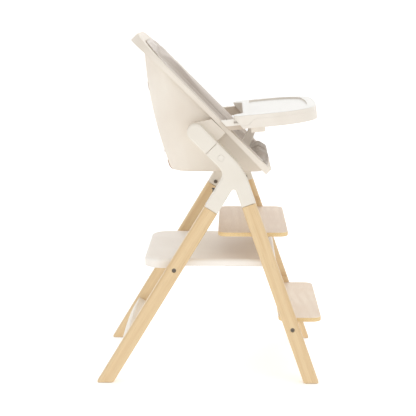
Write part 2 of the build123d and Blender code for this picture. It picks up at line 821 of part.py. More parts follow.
with BuildPart() as armrest:
    with BuildSketch(tray_side_plane(armrest_inner_x)):
        with BuildLine():
            Polyline(
                (-101.5, armrest_top),
                (-101.5, rail_bottom),
                (-43, rail_bottom),
                (-28, armrest_bottom),
                (12.2, armrest_bottom),
                (34.6, armrest_top),
                close=True,
            )
        make_face()
        fillet(vertices().group_by(Axis.X)[0], 5)
    extrude(amount=armrest_outer_x - armrest_inner_x)
    fillet(faces().sort_by(Axis.X)[-1].edges(), 1.5)
    fillet(faces().sort_by(Axis.X)[0].edges(), 1.5)
    with BuildSketch(tray_side_plane(groove_floor_x)):
        with Locations((-60, -18)):
            Rectangle(120, 6)
    extrude(amount=10, mode=Mode.SUBTRACT)
    # rack of the tray's position stops
    with BuildSketch(tray_side_plane(groove_floor_x - 3)):
        with Locations((-53, -18)):
            with GridLocations(6, 0, 15, 1):
                Rectangle(3, 4)
    extrude(amount=4, mode=Mode.SUBTRACT)
    with BuildSketch(opening_plane):
        for along in armrest_screw_places:
            with Locations((armrest_screw_x, along)):
                Circle(screw_radius + 0.05)
    extrude(amount=15, mode=Mode.SUBTRACT)
finish_pair(armrest, "armrest")

with BuildPart() as armrest_screws:
    with BuildSketch(opening_plane.offset(-rim_thickness - 0.1)):
        for along in armrest_screw_places:
            with Locations((-armrest_screw_x, along), (armrest_screw_x, along)):
                Circle(3.6)
    extrude(amount=-2)
    with BuildSketch(opening_plane.offset(-rim_thickness - 1)):
        for along in armrest_screw_places:
            with Locations((-armrest_screw_x, along), (armrest_screw_x, along)):
                Circle(screw_radius)
    extrude(amount=18)
finish(armrest_screws, "armrest_screws")


# ---------------------------------------------------------------- tray
def tray_outline(inset):
    """Plan outline of the tray, with a shallow cut-out on the child's side."""
    half = tray_half_width - inset
    horn = horn_x + 0.46 * inset
    notch = cutout_half_width + 0.46 * inset
    notch_floor = -cutout_depth - inset
    front_side = inset - tray_depth + tray_front_bow
    with BuildLine() as border:
        Polyline(
            (half, front_side),
            (half, -inset),
            (horn, -inset),
            (notch, notch_floor),
            (-notch, notch_floor),
            (-horn, -inset),
            (-half, -inset),
            (-half, front_side),
        )
        ThreePointArc((-half, front_side), (0, inset - tray_depth), (half, front_side))
    make_face(border.edges())
    for side in (-1, 1):
        fillet(vertices().sort_by_distance((side * half, front_side))[0], tray_corner_radius - inset)
        fillet(vertices().sort_by_distance((side * half, -inset))[0], 26 - inset)
        fillet(vertices().sort_by_distance((side * horn, -inset))[0], 26 - inset)
        fillet(vertices().sort_by_distance((side * notch, notch_floor))[0], 18 + inset)


def tray_block(inset, low, high, upright=20):
    """Solid of the tray's outline between two levels, cut back to its slanted rear end.

    Above the place where the slant reaches the upright line, the rear end is straight.
    """
    slant_top = 6 - 1.25 * inset
    rear = min(upright, slant_top)
    with BuildPart(mode=Mode.PRIVATE) as block:
        with BuildSketch(tray_plane.offset(low)) as section:
            tray_outline(inset)
        extrude(section.sketch, amount=high - low)
        with BuildSketch(tray_side_plane(-300)) as section:
            with BuildLine() as border:
                Polyline(
                    (rear, 8),
                    (60, 8),
                    (60, -60),
                    (slant_top - 48, -60),
                    (rear, 4 - (slant_top - rear) / 0.75),
                    close=True,
                )
            make_face(border.edges())
        extrude(section.sketch, amount=600, mode=Mode.SUBTRACT)
    return block.part


def under_seam(gap, bottom):
    """Solid below the curved seam between the tray's cover and base."""
    with BuildPart(mode=Mode.PRIVATE) as block:
        with BuildSketch(tray_side_plane(-300)) as section:
            with BuildLine() as border:
                FilletPolyline(
                    (60, -27 - gap),
                    (-38 - gap, -27 - gap),
                    (-57 - gap, seam_depth - gap),
                    (-260, seam_depth - gap),
                    radius=10,
                )
                Polyline((-260, seam_depth - gap), (-260, bottom), (60, bottom), (60, -27 - gap))
            make_face(border.edges())
        extrude(section.sketch, amount=600)
    return block.part


def armrest_room():
    """Openings in the tray's rear wall that the armrests pass through."""
    with BuildSketch(tray_plane.offset(-60)) as section:
        for side in (-1, 1):
            with Locations((side * (armrest_inner_x + armrest_outer_x) / 2, 0)):
                Rectangle(armrest_outer_x - armrest_inner_x + 2.4, 180)
    extrude(section.sketch, amount=60 + armrest_top + 0.4, mode=Mode.SUBTRACT)


cover_wall = 4
fit_gap = 0.25
deck_top = -8
deck_thickness = 3.5
base_wall = 3
recess_inset = 25
recess_depth = 5
rib_reach_x = 234.5
# the base stays in front of this line, where the cover's slanted rear end rises past it
lift_line = -23.2

with BuildPart() as tray_cover:
    add(tray_block(0, -30, 0))
    fillet(faces().sort_by(Axis((0, 0, 0), tray_plane.z_dir))[-1].edges(), 3)
    add(under_seam(0, -60), mode=Mode.SUBTRACT)
    add(tray_block(cover_wall, -40, deck_top + fit_gap), mode=Mode.SUBTRACT)
    with BuildSketch(tray_plane):
        with BuildLine():
            Polyline(
                (tray_half_width - recess_inset, -tray_depth + tray_front_bow + recess_inset),
                (tray_half_width - recess_inset, -47),
                (-tray_half_width + recess_inset, -47),
                (-tray_half_width + recess_inset, -tray_depth + tray_front_bow + recess_inset),
            )
            ThreePointArc(
                (-tray_half_width + recess_inset, -tray_depth + tray_front_bow + recess_inset),
                (0, -tray_depth + recess_inset),
                (tray_half_width - recess_inset, -tray_depth + tray_front_bow + recess_inset),
            )
        make_face()
        fillet(vertices().group_by(Axis.Y)[0], tray_corner_radius - recess_inset)
        fillet(vertices().group_by(Axis.Y)[-1], 24)
    extrude(amount=-recess_depth, mode=Mode.SUBTRACT)
    armrest_room()
finish(tray_cover, "tray_cover")

lever_mid = -63
lever_length = 38
lever_inner_x = 241.2
lever_outer_x = 250.8
lever_top = -29
lever_bottom = -49
spring_seat = -19.5

with BuildPart() as tray_base:
    add(tray_block(0, tray_bottom + 0.2, -9))
    add(under_seam(fit_gap, -60), mode=Mode.INTERSECT)
    add(tray_block(cover_wall + fit_gap, tray_bottom + 0.2, deck_top, lift_line))
    add(
        tray_block(cover_wall + fit_gap + base_wall, -60, deck_top - deck_thickness, lift_line - base_wall),
        mode=Mode.SUBTRACT,
    )
    for side in (-1, 1):
        # rib that runs in the armrest's groove
        with BuildSketch(tray_plane.offset(spring_seat)):
            with Locations((side * (rib_reach_x + 254) / 2, -61)):
                Rectangle(254 - rib_reach_x, 70)
        extrude(amount=3)
        # shelf that guides the lever
        with BuildSketch(tray_plane.offset(tray_bottom + 0.2)):
            with Locations((side * 247.5, lever_mid)):
                Rectangle(17, 62)
            with Locations((side * (lever_inner_x + lever_outer_x) / 2, lever_mid)):
                Rectangle(lever_outer_x - lever_inner_x + 0.8, lever_length + 0.8, mode=Mode.SUBTRACT)
        extrude(amount=2.5)
    armrest_room()
    # ribs under the deck
    with BuildSketch(tray_plane.offset(-20)):
        with Locations((0, -125)):
            with GridLocations(120, 0, 4, 1):
                Rectangle(2.5, 187)
            with GridLocations(0, 60, 1, 2):
                Rectangle(380, 2.5)
    extrude(amount=9)
finish(tray_base, "tray_base")

spring_low = lever_top - 9.5
with BuildPart() as tray_lever:
    with BuildSketch(tray_plane.offset(lever_bottom)):
        with Locations(((lever_inner_x + lever_outer_x) / 2, lever_mid)):
            RectangleRounded(lever_outer_x - lever_inner_x, lever_length, 3)
    extrude(amount=lever_top - lever_bottom)
    fillet(faces().sort_by(Axis((0, 0, 0), tray_plane.z_dir))[0].edges(), 2)
    # stops at both ends, above the shelf
    with BuildSketch(tray_plane.offset(lever_top - 4)):
        with Locations(((lever_inner_x + lever_outer_x) / 2, lever_mid)):
            Rectangle(lever_outer_x - lever_inner_x - 1, lever_length + 7)
    extrude(amount=4)
    with BuildSketch(tray_plane.offset(spring_low)):
        with Locations(((lever_inner_x + lever_outer_x) / 2, lever_mid)):
            Circle(3.8)
    extrude(amount=12, mode=Mode.SUBTRACT)
finish_pair(tray_lever, "tray_lever")

with BuildPart() as lever_spring:
    coil_foot = tray_plane.from_local_coords(
        Vector((lever_inner_x + lever_outer_x) / 2, lever_mid, spring_low + 0.6)
    )
    with BuildLine() as coil:
        Helix(2.9, spring_seat - spring_low - 1.2, 3, center=coil_foot, direction=tray_plane.z_dir)
    with BuildSketch(Plane(origin=coil.line @ 0, z_dir=coil.line % 0)):
        Circle(wire_radius)
    sweep()
finish_pair(lever_spring, "lever_spring")

post_half_width = 13
with BuildPart() as crotch_post:
    with BuildSketch(Plane.YZ.offset(-post_half_width)):
        with BuildLine():
            Polyline(
                (-117, 728),
                (-139, 728),
                (-128, 673),
                (-117, 645),
                (-109, 628),
                (-76, 628),
                (-88, 646),
                (-107, 677),
                close=True,
            )
        make_face()
    extrude(amount=2 * post_half_width)
    fillet(edges().filter_by(Axis.X).group_by(Axis.Z)[0], 4)
    fillet(faces().sort_by(Axis.X)[-1].edges(), 3)
    fillet(faces().sort_by(Axis.X)[0].edges(), 3)
    # flange that is fixed under the tray's deck
    with BuildSketch(tray_plane.offset(deck_top - deck_thickness - 0.1)):
        with Locations((0, -60)):
            RectangleRounded(52, 46, 6)
    extrude(amount=-3)
    with BuildSketch(tray_plane.offset(deck_top - deck_thickness - 2)):
        with Locations((0, -62)):
            Rectangle(22, 18)
    extrude(amount=-14)
finish(crotch_post, "crotch_post")

# ---------------------------------------------------------------- seat pad
pad_gap = 0.6
pad_seam_x = 128
pad_seat_z = 622
pad_floor_z = 610

with BuildPart() as pad_fill:
    bucket(shell_wall + pad_gap, shell_wall + pad_gap, 6)
    fillet(edges().group_by(Axis.Z)[0], 11)
with BuildPart() as pad_room:
    bucket(21, 0, 10)


def pad_slots(length_y, middle_y):
    """Openings in the back of the pad for the harness."""
    for slot_z in slot_heights:
        with Locations((-slot_x, middle_y, slot_z), (slot_x, middle_y, slot_z)):
            Box(slot_width, length_y, slot_height, mode=Mode.SUBTRACT)
    with Locations((-waist_slot_x, middle_y, waist_slot_z), (waist_slot_x, middle_y, waist_slot_z)):
        Box(slot_height, length_y, slot_width, mode=Mode.SUBTRACT)


with BuildPart() as pad_back:
    add(pad_fill.part)
    add(pad_room.part, mode=Mode.SUBTRACT)
    with Locations((0, 125, pad_floor_z + pad_gap)):
        Box(2 * pad_seam_x, 300, 500, align=(Align.CENTER, Align.CENTER, Align.MIN), mode=Mode.INTERSECT)
    pad_slots(120, 120)
finish(pad_back, "pad_back")

with BuildPart() as pad_wing:
    add(pad_fill.part)
    add(pad_room.part, mode=Mode.SUBTRACT)
    with Locations((pad_seam_x + pad_gap, 25, pad_floor_z + pad_gap)):
        Box(200, 400, 500, align=(Align.MIN, Align.CENTER, Align.MIN), mode=Mode.INTERSECT)
finish_pair(pad_wing, "pad_wing")

with BuildPart() as pad_cushion:
    bucket(21 + pad_gap, 0, 10)
    with Locations((0, 0, pad_floor_z - 2)):
        Box(600, 600, pad_seat_z - pad_floor_z + 2, align=(Align.CENTER, Align.CENTER, Align.MIN),
            mode=Mode.INTERSECT)

with BuildPart() as pad_base:
    add(pad_fill.part)
    with Locations((0, 0, 500)):
        Box(600, 600, pad_floor_z - 500, align=(Align.CENTER, Align.CENTER, Align.MIN),
            mode=Mode.INTERSECT)
    add(pad_cushion.part)
    # the front of the pad rolls out over the rim
    with BuildSketch(Plane.YZ.offset(-pad_seam_x + 1)):
        with BuildLine():
            Polyline(
                (-120, 603),
                (-120, 622),
                (-131, 630),
                (-137, 636),
                (-164.5, 626),
                (-168.8, 616),
                (-167, 605),
                (-138, 612),
                (-134, 603),
                close=True,
            )
        make_face()
        fillet(vertices().group_by(Axis.X)[0], 4)
        fillet(vertices().group_by(Axis.Y)[-1], 4)
    extrude(amount=2 * pad_seam_x - 2)
    # channel for the crotch post, and the slot of the crotch strap
    with Locations((0, -140, pad_seat_z)):
        Box(40, 70, 40, align=(Align.CENTER, Align.CENTER, Align.MIN), mode=Mode.SUBTRACT)
    with Locations((0, crotch_strap_y, 600)):
        Box(slot_width, slot_height, 60, mode=Mode.SUBTRACT)
finish(pad_base, "pad_base")

# ---------------------------------------------------------------- harness
webbing_width = 25
webbing_thickness = 1.6
buckle_place = (0, -14, 652)
harness_plane = Plane(
    origin=buckle_place,
    x_dir=(1, 0, 0),
    z_dir=(0, -sin(radians(45)), cos(radians(45))),
)
strap_low = 19
strap_high = 205
strap_low_x = 16

with BuildPart() as shoulder_strap:
    with BuildSketch(harness_plane.offset(-webbing_thickness / 2)):
        with BuildLine():
            Polyline(
                (strap_low_x - webbing_width / 2, strap_low),
                (strap_low_x + webbing_width / 2, strap_low),
                (slot_x + webbing_width / 2, strap_high),
                (slot_x - webbing_width / 2, strap_high),
                close=True,
            )
        make_face()
    extrude(amount=webbing_thickness)
    # tail that runs through the pad and the shell
    with BuildSketch(Plane.YZ.offset(slot_x - webbing_width / 2)):
        with BuildLine():
            FilletPolyline((129.6, 795.6), (140, 806), (175, 806), radius=6)
        trace(line_width=webbing_thickness)
    extrude(amount=webbing_width)
finish_pair(shoulder_strap, "shoulder_strap")

# origin, direction, lengthways direction of the webbing's width
waist_start = 31
waist_sections = [
    ((waist_start + 5, buckle_place[1], buckle_place[2]), (1, 0, 0), (0, 1, 1)),
    ((70, 22, 646), (0.7, 0.7, 0), (0, 0, 1)),
    ((waist_slot_x, 92, waist_slot_z), (0, 1, 0), (0, 0, 1)),
]
with BuildPart() as waist_strap:
    outlines = []
    for place, direction, width_direction in waist_sections:
        with BuildSketch(Plane(origin=place, x_dir=width_direction, z_dir=direction)) as outline:
            Rectangle(webbing_width, webbing_thickness)
        outlines.append(outline.sketch)
    loft(outlines)
    extrude(outlines[0], amount=-5)
    extrude(outlines[-1], amount=37)
finish_pair(waist_strap, "waist_strap")

with BuildPart() as crotch_strap:
    with BuildSketch(Plane.YZ.offset(-webbing_width / 2)):
        with BuildLine():
            FilletPolyline((crotch_strap_y, 572), (crotch_strap_y, 630), (-27.5, 638.5), radius=6)
        trace(line_width=webbing_thickness)
    extrude(amount=webbing_width)
finish(crotch_strap, "crotch_strap")

buckle_thickness = 15
buckle_width = 68
buckle_height = 46
buckle_button_radius = 11
buckle_pocket = -4.5
with BuildPart() as buckle:
    with BuildSketch(harness_plane.offset(-buckle_thickness / 2)):
        RectangleRounded(buckle_width, buckle_height, 10)
    extrude(amount=buckle_thickness)
    fillet(faces().sort_by(Axis((0, 0, 0), harness_plane.z_dir))[-1].edges(), 3)
    with BuildSketch(harness_plane.offset(buckle_pocket)):
        Circle(buckle_button_radius + 0.3)
    extrude(amount=buckle_thickness, mode=Mode.SUBTRACT)
    # slots for the ends of the five straps
    with BuildSketch(harness_plane.offset(-1.2)):
        with Locations((-strap_low_x, 23), (strap_low_x, 23), (0, -23)):
            Rectangle(webbing_width + 3, 12)
    extrude(amount=2.4, mode=Mode.SUBTRACT)
    with BuildSketch(harness_plane.offset(-1.2)):
        with Locations((-buckle_width / 2, 0), (buckle_width / 2, 0)):
            Rectangle(12, webbing_width + 3)
    extrude(amount=2.4, mode=Mode.SUBTRACT)
finish(buckle, "buckle")

with BuildPart() as buckle_button:
    with BuildSketch(harness_plane.offset(0)):
        Circle(buckle_button_radius)
    extrude(amount=buckle_thickness / 2 + 0.6)
    fillet(faces().sort_by(Axis((0, 0, 0), harness_plane.z_dir))[-1].edges(), 1)
finish(buckle_button, "buckle_button")

with BuildPart() as buckle_spring:
    coil_foot = harness_plane.offset(buckle_pocket + 0.6)
    with BuildLine() as coil:
        Helix(1.6, 3.3, 6, center=coil_foot.origin, direction=coil_foot.z_dir)
    with BuildSketch(Plane(origin=coil.line @ 0, z_dir=coil.line % 0)):
        Circle(0.4)
    sweep()
finish(buckle_spring, "buckle_spring")

adjuster_height = 110
adjuster_x = strap_low_x + (slot_x - strap_low_x) * (adjuster_height - strap_low) / (strap_high - strap_low)
with BuildPart() as strap_adjusters:
    for side in (-1, 1):
        for level in (-3.3, 1.1):
            with BuildSketch(harness_plane.offset(level)):
                with Locations((side * adjuster_x, adjuster_height)):
                    RectangleRounded(36, 18, 3)
            extrude(amount=2.2)
        with BuildSketch(harness_plane.offset(-2)):
            with Locations((side * adjuster_x, adjuster_height)):
                with GridLocations(33, 0, 2, 1):
                    Rectangle(2, 12)
        extrude(amount=4)
finish(strap_adjusters, "strap_adjusters")

# plates that keep the strap ends behind the shell and under its floor
back_lean = 9.5
retainer_y = 173.3
retainer_z = 811
retainer_width = 34
with BuildPart() as strap_retainers:
    for side in (-1, 1):
        low_x = side * slot_x - retainer_width / 2
        with BuildSketch(Plane.YZ.offset(low_x)):
            with Locations((retainer_y, retainer_z)):
                Rectangle(3.6, 23, rotation=-back_lean)
            with Locations((retainer_y - 0.8, slot_heights[0])):
                Rectangle(14, 2.4, mode=Mode.SUBTRACT)
        extrude(amount=retainer_width)
        for end_x in (low_x, low_x + retainer_width - 3.6):
            with BuildSketch(Plane.YZ.offset(end_x)):
                with Locations((retainer_y - 0.8, slot_heights[0])):
                    Rectangle(3, 6, rotation=-back_lean)
            extrude(amount=3.6)
    with BuildSketch(Plane.XY.offset(shell_floor_z - 3.4)):
        with Locations((0, crotch_strap_y)):
            RectangleRounded(42, 22, 4)
            Rectangle(webbing_width + 1, 2.4, mode=Mode.SUBTRACT)
    extrude(amount=3)
finish(strap_retainers, "strap_retainers")

for piece in finished:
    export_step(piece, "parts/" + piece.label + ".step")
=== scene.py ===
import bpy
import bmesh
import json
import math
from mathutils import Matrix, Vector, noise
from mathutils.bvhtree import BVHTree


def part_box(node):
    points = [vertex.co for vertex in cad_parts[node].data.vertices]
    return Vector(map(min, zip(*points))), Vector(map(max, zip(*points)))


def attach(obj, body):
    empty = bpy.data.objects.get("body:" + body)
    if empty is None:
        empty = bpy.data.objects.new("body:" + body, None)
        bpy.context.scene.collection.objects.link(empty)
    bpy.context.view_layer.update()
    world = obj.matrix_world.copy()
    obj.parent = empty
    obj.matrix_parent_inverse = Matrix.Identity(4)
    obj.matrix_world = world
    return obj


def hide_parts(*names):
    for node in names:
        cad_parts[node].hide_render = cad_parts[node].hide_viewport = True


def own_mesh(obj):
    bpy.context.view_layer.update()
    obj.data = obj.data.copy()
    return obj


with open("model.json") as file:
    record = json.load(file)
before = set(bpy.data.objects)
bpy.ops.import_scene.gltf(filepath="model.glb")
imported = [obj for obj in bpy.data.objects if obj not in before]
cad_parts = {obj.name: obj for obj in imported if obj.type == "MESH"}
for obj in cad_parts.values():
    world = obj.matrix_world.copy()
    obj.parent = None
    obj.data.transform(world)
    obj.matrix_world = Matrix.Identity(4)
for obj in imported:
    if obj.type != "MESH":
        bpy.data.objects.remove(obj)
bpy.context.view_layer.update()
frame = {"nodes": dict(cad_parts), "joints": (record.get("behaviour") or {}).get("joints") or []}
nodes = frame["nodes"]
scene = bpy.context.scene
mm = 0.001
ROOT_HALF = math.sqrt(0.5)

# the seat's opening plane lies at 45 degrees: z - y = RIM_HEIGHT
RIM_HEIGHT = 0.758
SEAM_LIFT = -0.0155
PIPING_LIFT = 0.0025
# the armrests' own upward direction, and their middle
ARM_UP = (0, 0.0958, 0.9954)
ARM_Y = -0.065
ARM_Z = 0.742


# ------------------------------------------------------------------ node helpers
def srgb(r, g, b, a=1.0):
    """Linear colour from 0-255 display values."""
    def lin(v):
        v /= 255
        return v / 12.92 if v <= 0.04045 else ((v + 0.055) / 1.055) ** 2.4
    return (lin(r), lin(g), lin(b), a)


def darker(color, r, g, b):
    """The colour with each channel scaled."""
    return (color[0] * r, color[1] * g, color[2] * b, 1)


class Maker:
    """Small helper that writes one node material."""

    def __init__(self, name, roughness=0.5, **sockets):
        self.material = bpy.data.materials.new(name)
        self.material.use_nodes = True
        self.tree = self.material.node_tree
        self.tree.nodes.clear()
        self.out = self.tree.nodes.new("ShaderNodeOutputMaterial")
        self.bsdf = self.tree.nodes.new("ShaderNodeBsdfPrincipled")
        self.tree.links.new(self.bsdf.outputs[0], self.out.inputs[0])
        self.bsdf.inputs["Roughness"].default_value = roughness
        for key, value in sockets.items():
            self.bsdf.inputs[key.replace("_", " ")].default_value = value
        self.coords = self.tree.nodes.new("ShaderNodeTexCoord")
        self.object = self.coords.outputs["Object"]

    def put(self, node, key, value):
        socket = node.inputs[key]
        if isinstance(value, bpy.types.NodeSocket):
            self.tree.links.new(value, socket)
        else:
            socket.default_value = value

    def add(self, kind, settings=None, **inputs):
        node = self.tree.nodes.new("ShaderNode" + kind)
        for key, value in (settings or {}).items():
            setattr(node, key, value)
        for key, value in inputs.items():
            self.put(node, key.replace("_", " "), value)
        return node

    def math(self, operation, a, b=None):
        node = self.tree.nodes.new("ShaderNodeMath")
        node.operation = operation
        for index, value in enumerate((a, b)):
            if value is not None:
                self.put(node, index, value)
        return node.outputs[0]

    def scaled(self, vector, x, y, z):
        node = self.add("VectorMath", {"operation": "MULTIPLY"})
        self.put(node, 0, vector)
        self.put(node, 1, (x, y, z))
        return node.outputs[0]

    def turned(self, vector, angle_x):
        node = self.add("VectorRotate", {"rotation_type": "X_AXIS"}, Vector=vector, Angle=angle_x)
        return node.outputs[0]

    def noise(self, vector, scale, detail=2.0, roughness=0.5, distortion=0.0):
        node = self.add("TexNoise", Vector=vector, Scale=scale, Detail=detail, Roughness=roughness,
                        Distortion=distortion)
        return node.outputs[0]

    def ramp(self, value, stops):
        node = self.tree.nodes.new("ShaderNodeValToRGB")
        elements = node.color_ramp.elements
        while len(elements) > 1:
            elements.remove(elements[-1])
        elements[0].position, elements[0].color = stops[0]
        for position, color in stops[1:]:
            element = elements.new(position)
            element.color = color
        self.put(node, 0, value)
        return node.outputs[0]

    def span(self, value, low, high, to_low=0.0, to_high=1.0):
        node = self.add("MapRange", {"clamp": True})
        for index, item in enumerate((value, low, high, to_low, to_high)):
            self.put(node, index, item)
        return node.outputs[0]

    def mix(self, factor, a, b, blend="MIX"):
        node = self.add("MixRGB", {"blend_type": blend})
        self.put(node, 0, factor)
        self.put(node, 1, a)
        self.put(node, 2, b)
        return node.outputs[0]

    def xyz(self, vector):
        node = self.add("SeparateXYZ", Vector=vector)
        return node.outputs

    def bump(self, height, distance, strength=1.0, normal=None):
        node = self.add("Bump", Strength=strength, Distance=distance, Height=height)
        if normal is not None:
            self.put(node, "Normal", normal)
        return node.outputs[0]

    def finish(self, color=None, roughness=None, normal=None):
        if color is not None:
            self.put(self.bsdf, "Base Color", color)
        if roughness is not None:
            self.put(self.bsdf, "Roughness", roughness)
        if normal is not None:
            self.put(self.bsdf, "Normal", normal)
        return self.material


# ------------------------------------------------------------------ materials
def wood(name, lean, light, dark, streak, along_x=False, seed=0.0):
    """Clear-lacquered straight-grained wood whose grain follows the piece."""
    m = Maker(name, roughness=0.42, Coat_Weight=0.18, Coat_Roughness=0.3)
    base = m.add("VectorMath", {"operation": "ADD"})
    m.put(base, 0, m.object)
    m.put(base, 1, (seed, seed * 0.37, seed * 0.71))
    place = base.outputs[0]
    if along_x:
        across = lambda fine, slow: m.scaled(place, slow, fine, fine)
    else:
        place = m.turned(place, lean)
        across = lambda fine, slow: m.scaled(place, fine, fine, slow)
    tone = m.noise(across(26, 1.6), 1.0, 3, 0.55, 0.4)
    rings = m.add("TexWave", {"wave_type": "BANDS", "bands_direction": "DIAGONAL"}, Vector=across(14, 0.5),
                  Scale=1.7, Distortion=3.2, Detail=2.0, Detail_Scale=0.8, Detail_Roughness=0.5).outputs[0]
    fine = m.noise(across(380, 7), 1.0, 4, 0.6)
    pores = m.noise(across(900, 26), 1.0, 1, 0.5)
    color = m.ramp(tone, [(0.28, dark), (0.5, light), (0.74, light)])
    color = m.mix(m.math("MULTIPLY", m.span(rings, 0.25, 0.9), 0.2), color, streak)
    color = m.mix(m.math("MULTIPLY", m.span(fine, 0.42, 0.75), 0.30), color, streak)
    color = m.mix(m.math("MULTIPLY", m.span(pores, 0.62, 0.78), 0.35), color, darker(streak, 0.55, 0.5, 0.42))
    rough = m.span(fine, 0.3, 0.8, 0.38, 0.52)
    height = m.math("ADD", m.math("MULTIPLY", fine, 0.6), m.math("MULTIPLY", pores, -0.5))
    return m.finish(color, rough, m.bump(height, 0.00012, 0.5))


LEG_LIGHT = srgb(231, 205, 163)
LEG_DARK = srgb(225, 196, 152)
LEG_STREAK = srgb(206, 168, 116)
wood_rear = wood("beech_rear", math.radians(-31.2), LEG_LIGHT, LEG_DARK, LEG_STREAK)
wood_front = wood("beech_front", math.radians(19.4), LEG_LIGHT, LEG_DARK, LEG_STREAK, seed=3.1)
wood_cross = wood("beech_cross", 0, LEG_LIGHT, LEG_DARK, LEG_STREAK, along_x=True, seed=1.7)
wood_cream = wood("painted_cross", 0, srgb(240, 232, 219), srgb(235, 226, 212), srgb(226, 213, 194),
                  along_x=True, seed=5.3)


def plywood(name, low_z, seed, light, dark, streak):
    """Birch plywood: pale swirling face veneer, and plies along the edge."""
    m = Maker(name, roughness=0.45, Coat_Weight=0.15, Coat_Roughness=0.35)
    geometry = m.add("NewGeometry")
    base = m.add("VectorMath", {"operation": "ADD"})
    m.put(base, 0, m.object)
    m.put(base, 1, (seed, seed * 0.6, 0))
    place = base.outputs[0]
    swirl = m.noise(m.scaled(place, 5, 9, 5), 1.0, 2, 0.5, 1.2)
    lines = m.add("TexWave", {"wave_type": "BANDS", "bands_direction": "Y"},
                  Vector=m.scaled(place, 2.2, 9, 1),
                  Scale=1.3, Distortion=14.0, Detail=3.0, Detail_Scale=0.4, Detail_Roughness=0.6).outputs[0]
    fine = m.noise(m.scaled(place, 22, 520, 60), 1.0, 3, 0.6)
    face = m.ramp(swirl, [(0.3, dark), (0.62, light)])
    figure = m.math("MULTIPLY", m.span(lines, 0.3, 0.95), m.span(swirl, 0.35, 0.65))
    face = m.mix(m.math("MULTIPLY", figure, 0.3), face, streak)
    face = m.mix(m.math("MULTIPLY", m.span(fine, 0.48, 0.78), 0.22), face, streak)
    z = m.xyz(m.object)[2]
    layer = m.math("MULTIPLY", m.math("SUBTRACT", z, low_z), 1 / 0.00171)
    wobble = m.math("MULTIPLY", m.noise(m.scaled(place, 40, 40, 300), 1.0, 2), 0.5)
    phase = m.math("FRACT", m.math("ADD", layer, wobble))
    even = m.math("FRACT", m.math("MULTIPLY", m.math("FLOOR", m.math("ADD", layer, wobble)), 0.5))
    grain = m.noise(m.scaled(place, 260, 260, 900), 1.0, 3, 0.6)
    edge = m.mix(m.span(even, 0.2, 0.3), srgb(246, 222, 172), srgb(232, 202, 146))
    edge = m.mix(m.math("MULTIPLY", m.span(grain, 0.4, 0.7), 0.45), edge, srgb(202, 164, 106))
    glue = m.math("SUBTRACT", 1.0, m.span(phase, 0.0, 0.14))
    edge = m.mix(m.math("MULTIPLY", glue, 0.5), edge, srgb(170, 128, 82))
    up = m.math("ABSOLUTE", m.xyz(geometry.outputs["True Normal"])[2])
    color = m.mix(m.span(up, 0.35, 0.7), edge, face)
    rough = m.span(fine, 0.3, 0.8, 0.4, 0.55)
    height = m.math("ADD", m.math("MULTIPLY", fine, 0.5), m.math("MULTIPLY", glue, -0.4))
    return m.finish(color, rough, m.bump(height, 0.0001, 0.5))


def up_faces_for_painted_shade(m):
    """One on faces that look up, nothing on walls; it lays painted shade on the tray cover's top."""
    return m.span(m.xyz(m.add("NewGeometry").outputs["True Normal"])[2], 0.6, 0.9)


def arm_pale_rail_and_painted_shade(m):
    """One on the armrests' outer rail and top, nothing on their lower body and inner faces. The pale rail
    over a beige lower body is the armrest's two-tone; the beige left on the inward-facing faces is painted
    shade.
    """
    x, y, z = m.xyz(m.object)
    nx, ny, nz = m.xyz(m.add("NewGeometry").outputs["True Normal"])
    height = m.math("ADD", m.math("MULTIPLY", m.math("SUBTRACT", y, ARM_Y), ARM_UP[1]),
                    m.math("MULTIPLY", m.math("SUBTRACT", z, ARM_Z), ARM_UP[2]))
    outward = m.math("MULTIPLY", m.math("SIGN", x), nx)
    # outward- or upward-facing faces take the pale colour; inward faces keep the beige as painted shade
    outer = m.math("MAXIMUM", m.span(outward, 0.1, 0.4), m.span(nz, 0.4, 0.8))
    return m.math("MULTIPLY", outer, m.span(height, -0.0275, -0.0265))


def plastic(name, color, shade, roughness=0.46, grain=1500, depth=0.00005, coat=0.0, second=None, where=None):
    """Moulded plastic: fine spark-eroded grain, faint flow mottling and slightly uneven gloss."""
    m = Maker(name, roughness=roughness, Coat_Weight=coat, Coat_Roughness=0.25)
    flow = m.noise(m.scaled(m.object, 7, 7, 7), 1.0, 3, 0.5, 0.6)
    tint = m.ramp(flow, [(0.3, shade), (0.6, color)])
    if second is not None:
        tint = m.mix(where(m), tint, second)
    cell = m.noise(m.object, grain, 2, 0.6)
    tint = m.mix(m.math("MULTIPLY", m.span(cell, 0.45, 0.75), 0.06), tint, darker(shade, 0.7, 0.68, 0.64))
    rub = m.noise(m.scaled(m.object, 60, 60, 60), 1.0, 4, 0.65)
    rough = m.span(rub, 0.3, 0.75, roughness - 0.05, roughness + 0.07)
    fine = m.bump(cell, depth, 0.7)
    return m.finish(tint, rough, m.bump(flow, 0.0004, 0.25, fine))


CREAM = srgb(237, 229, 217)
CREAM_SHADE = srgb(231, 221, 208)
shell_plastic = plastic("shell_plastic", CREAM, CREAM_SHADE, 0.5)
hub_plastic = plastic("hub_plastic", srgb(235, 229, 218), srgb(231, 224, 212), 0.46)
platform_plastic = plastic("platform_plastic", srgb(249, 244, 237), srgb(245, 239, 231), 0.5)
tray_plastic = plastic("tray_plastic", srgb(238, 231, 221), srgb(233, 225, 214), 0.44)
# tray cover: its upward faces take a darker grey, painted shade on the top
tray_top_plastic = plastic("tray_top_plastic", srgb(238, 231, 221), srgb(234, 226, 215), 0.36,
                           grain=2600, depth=0.00002, coat=0.1, second=srgb(226, 225, 221), where=up_faces_for_painted_shade)
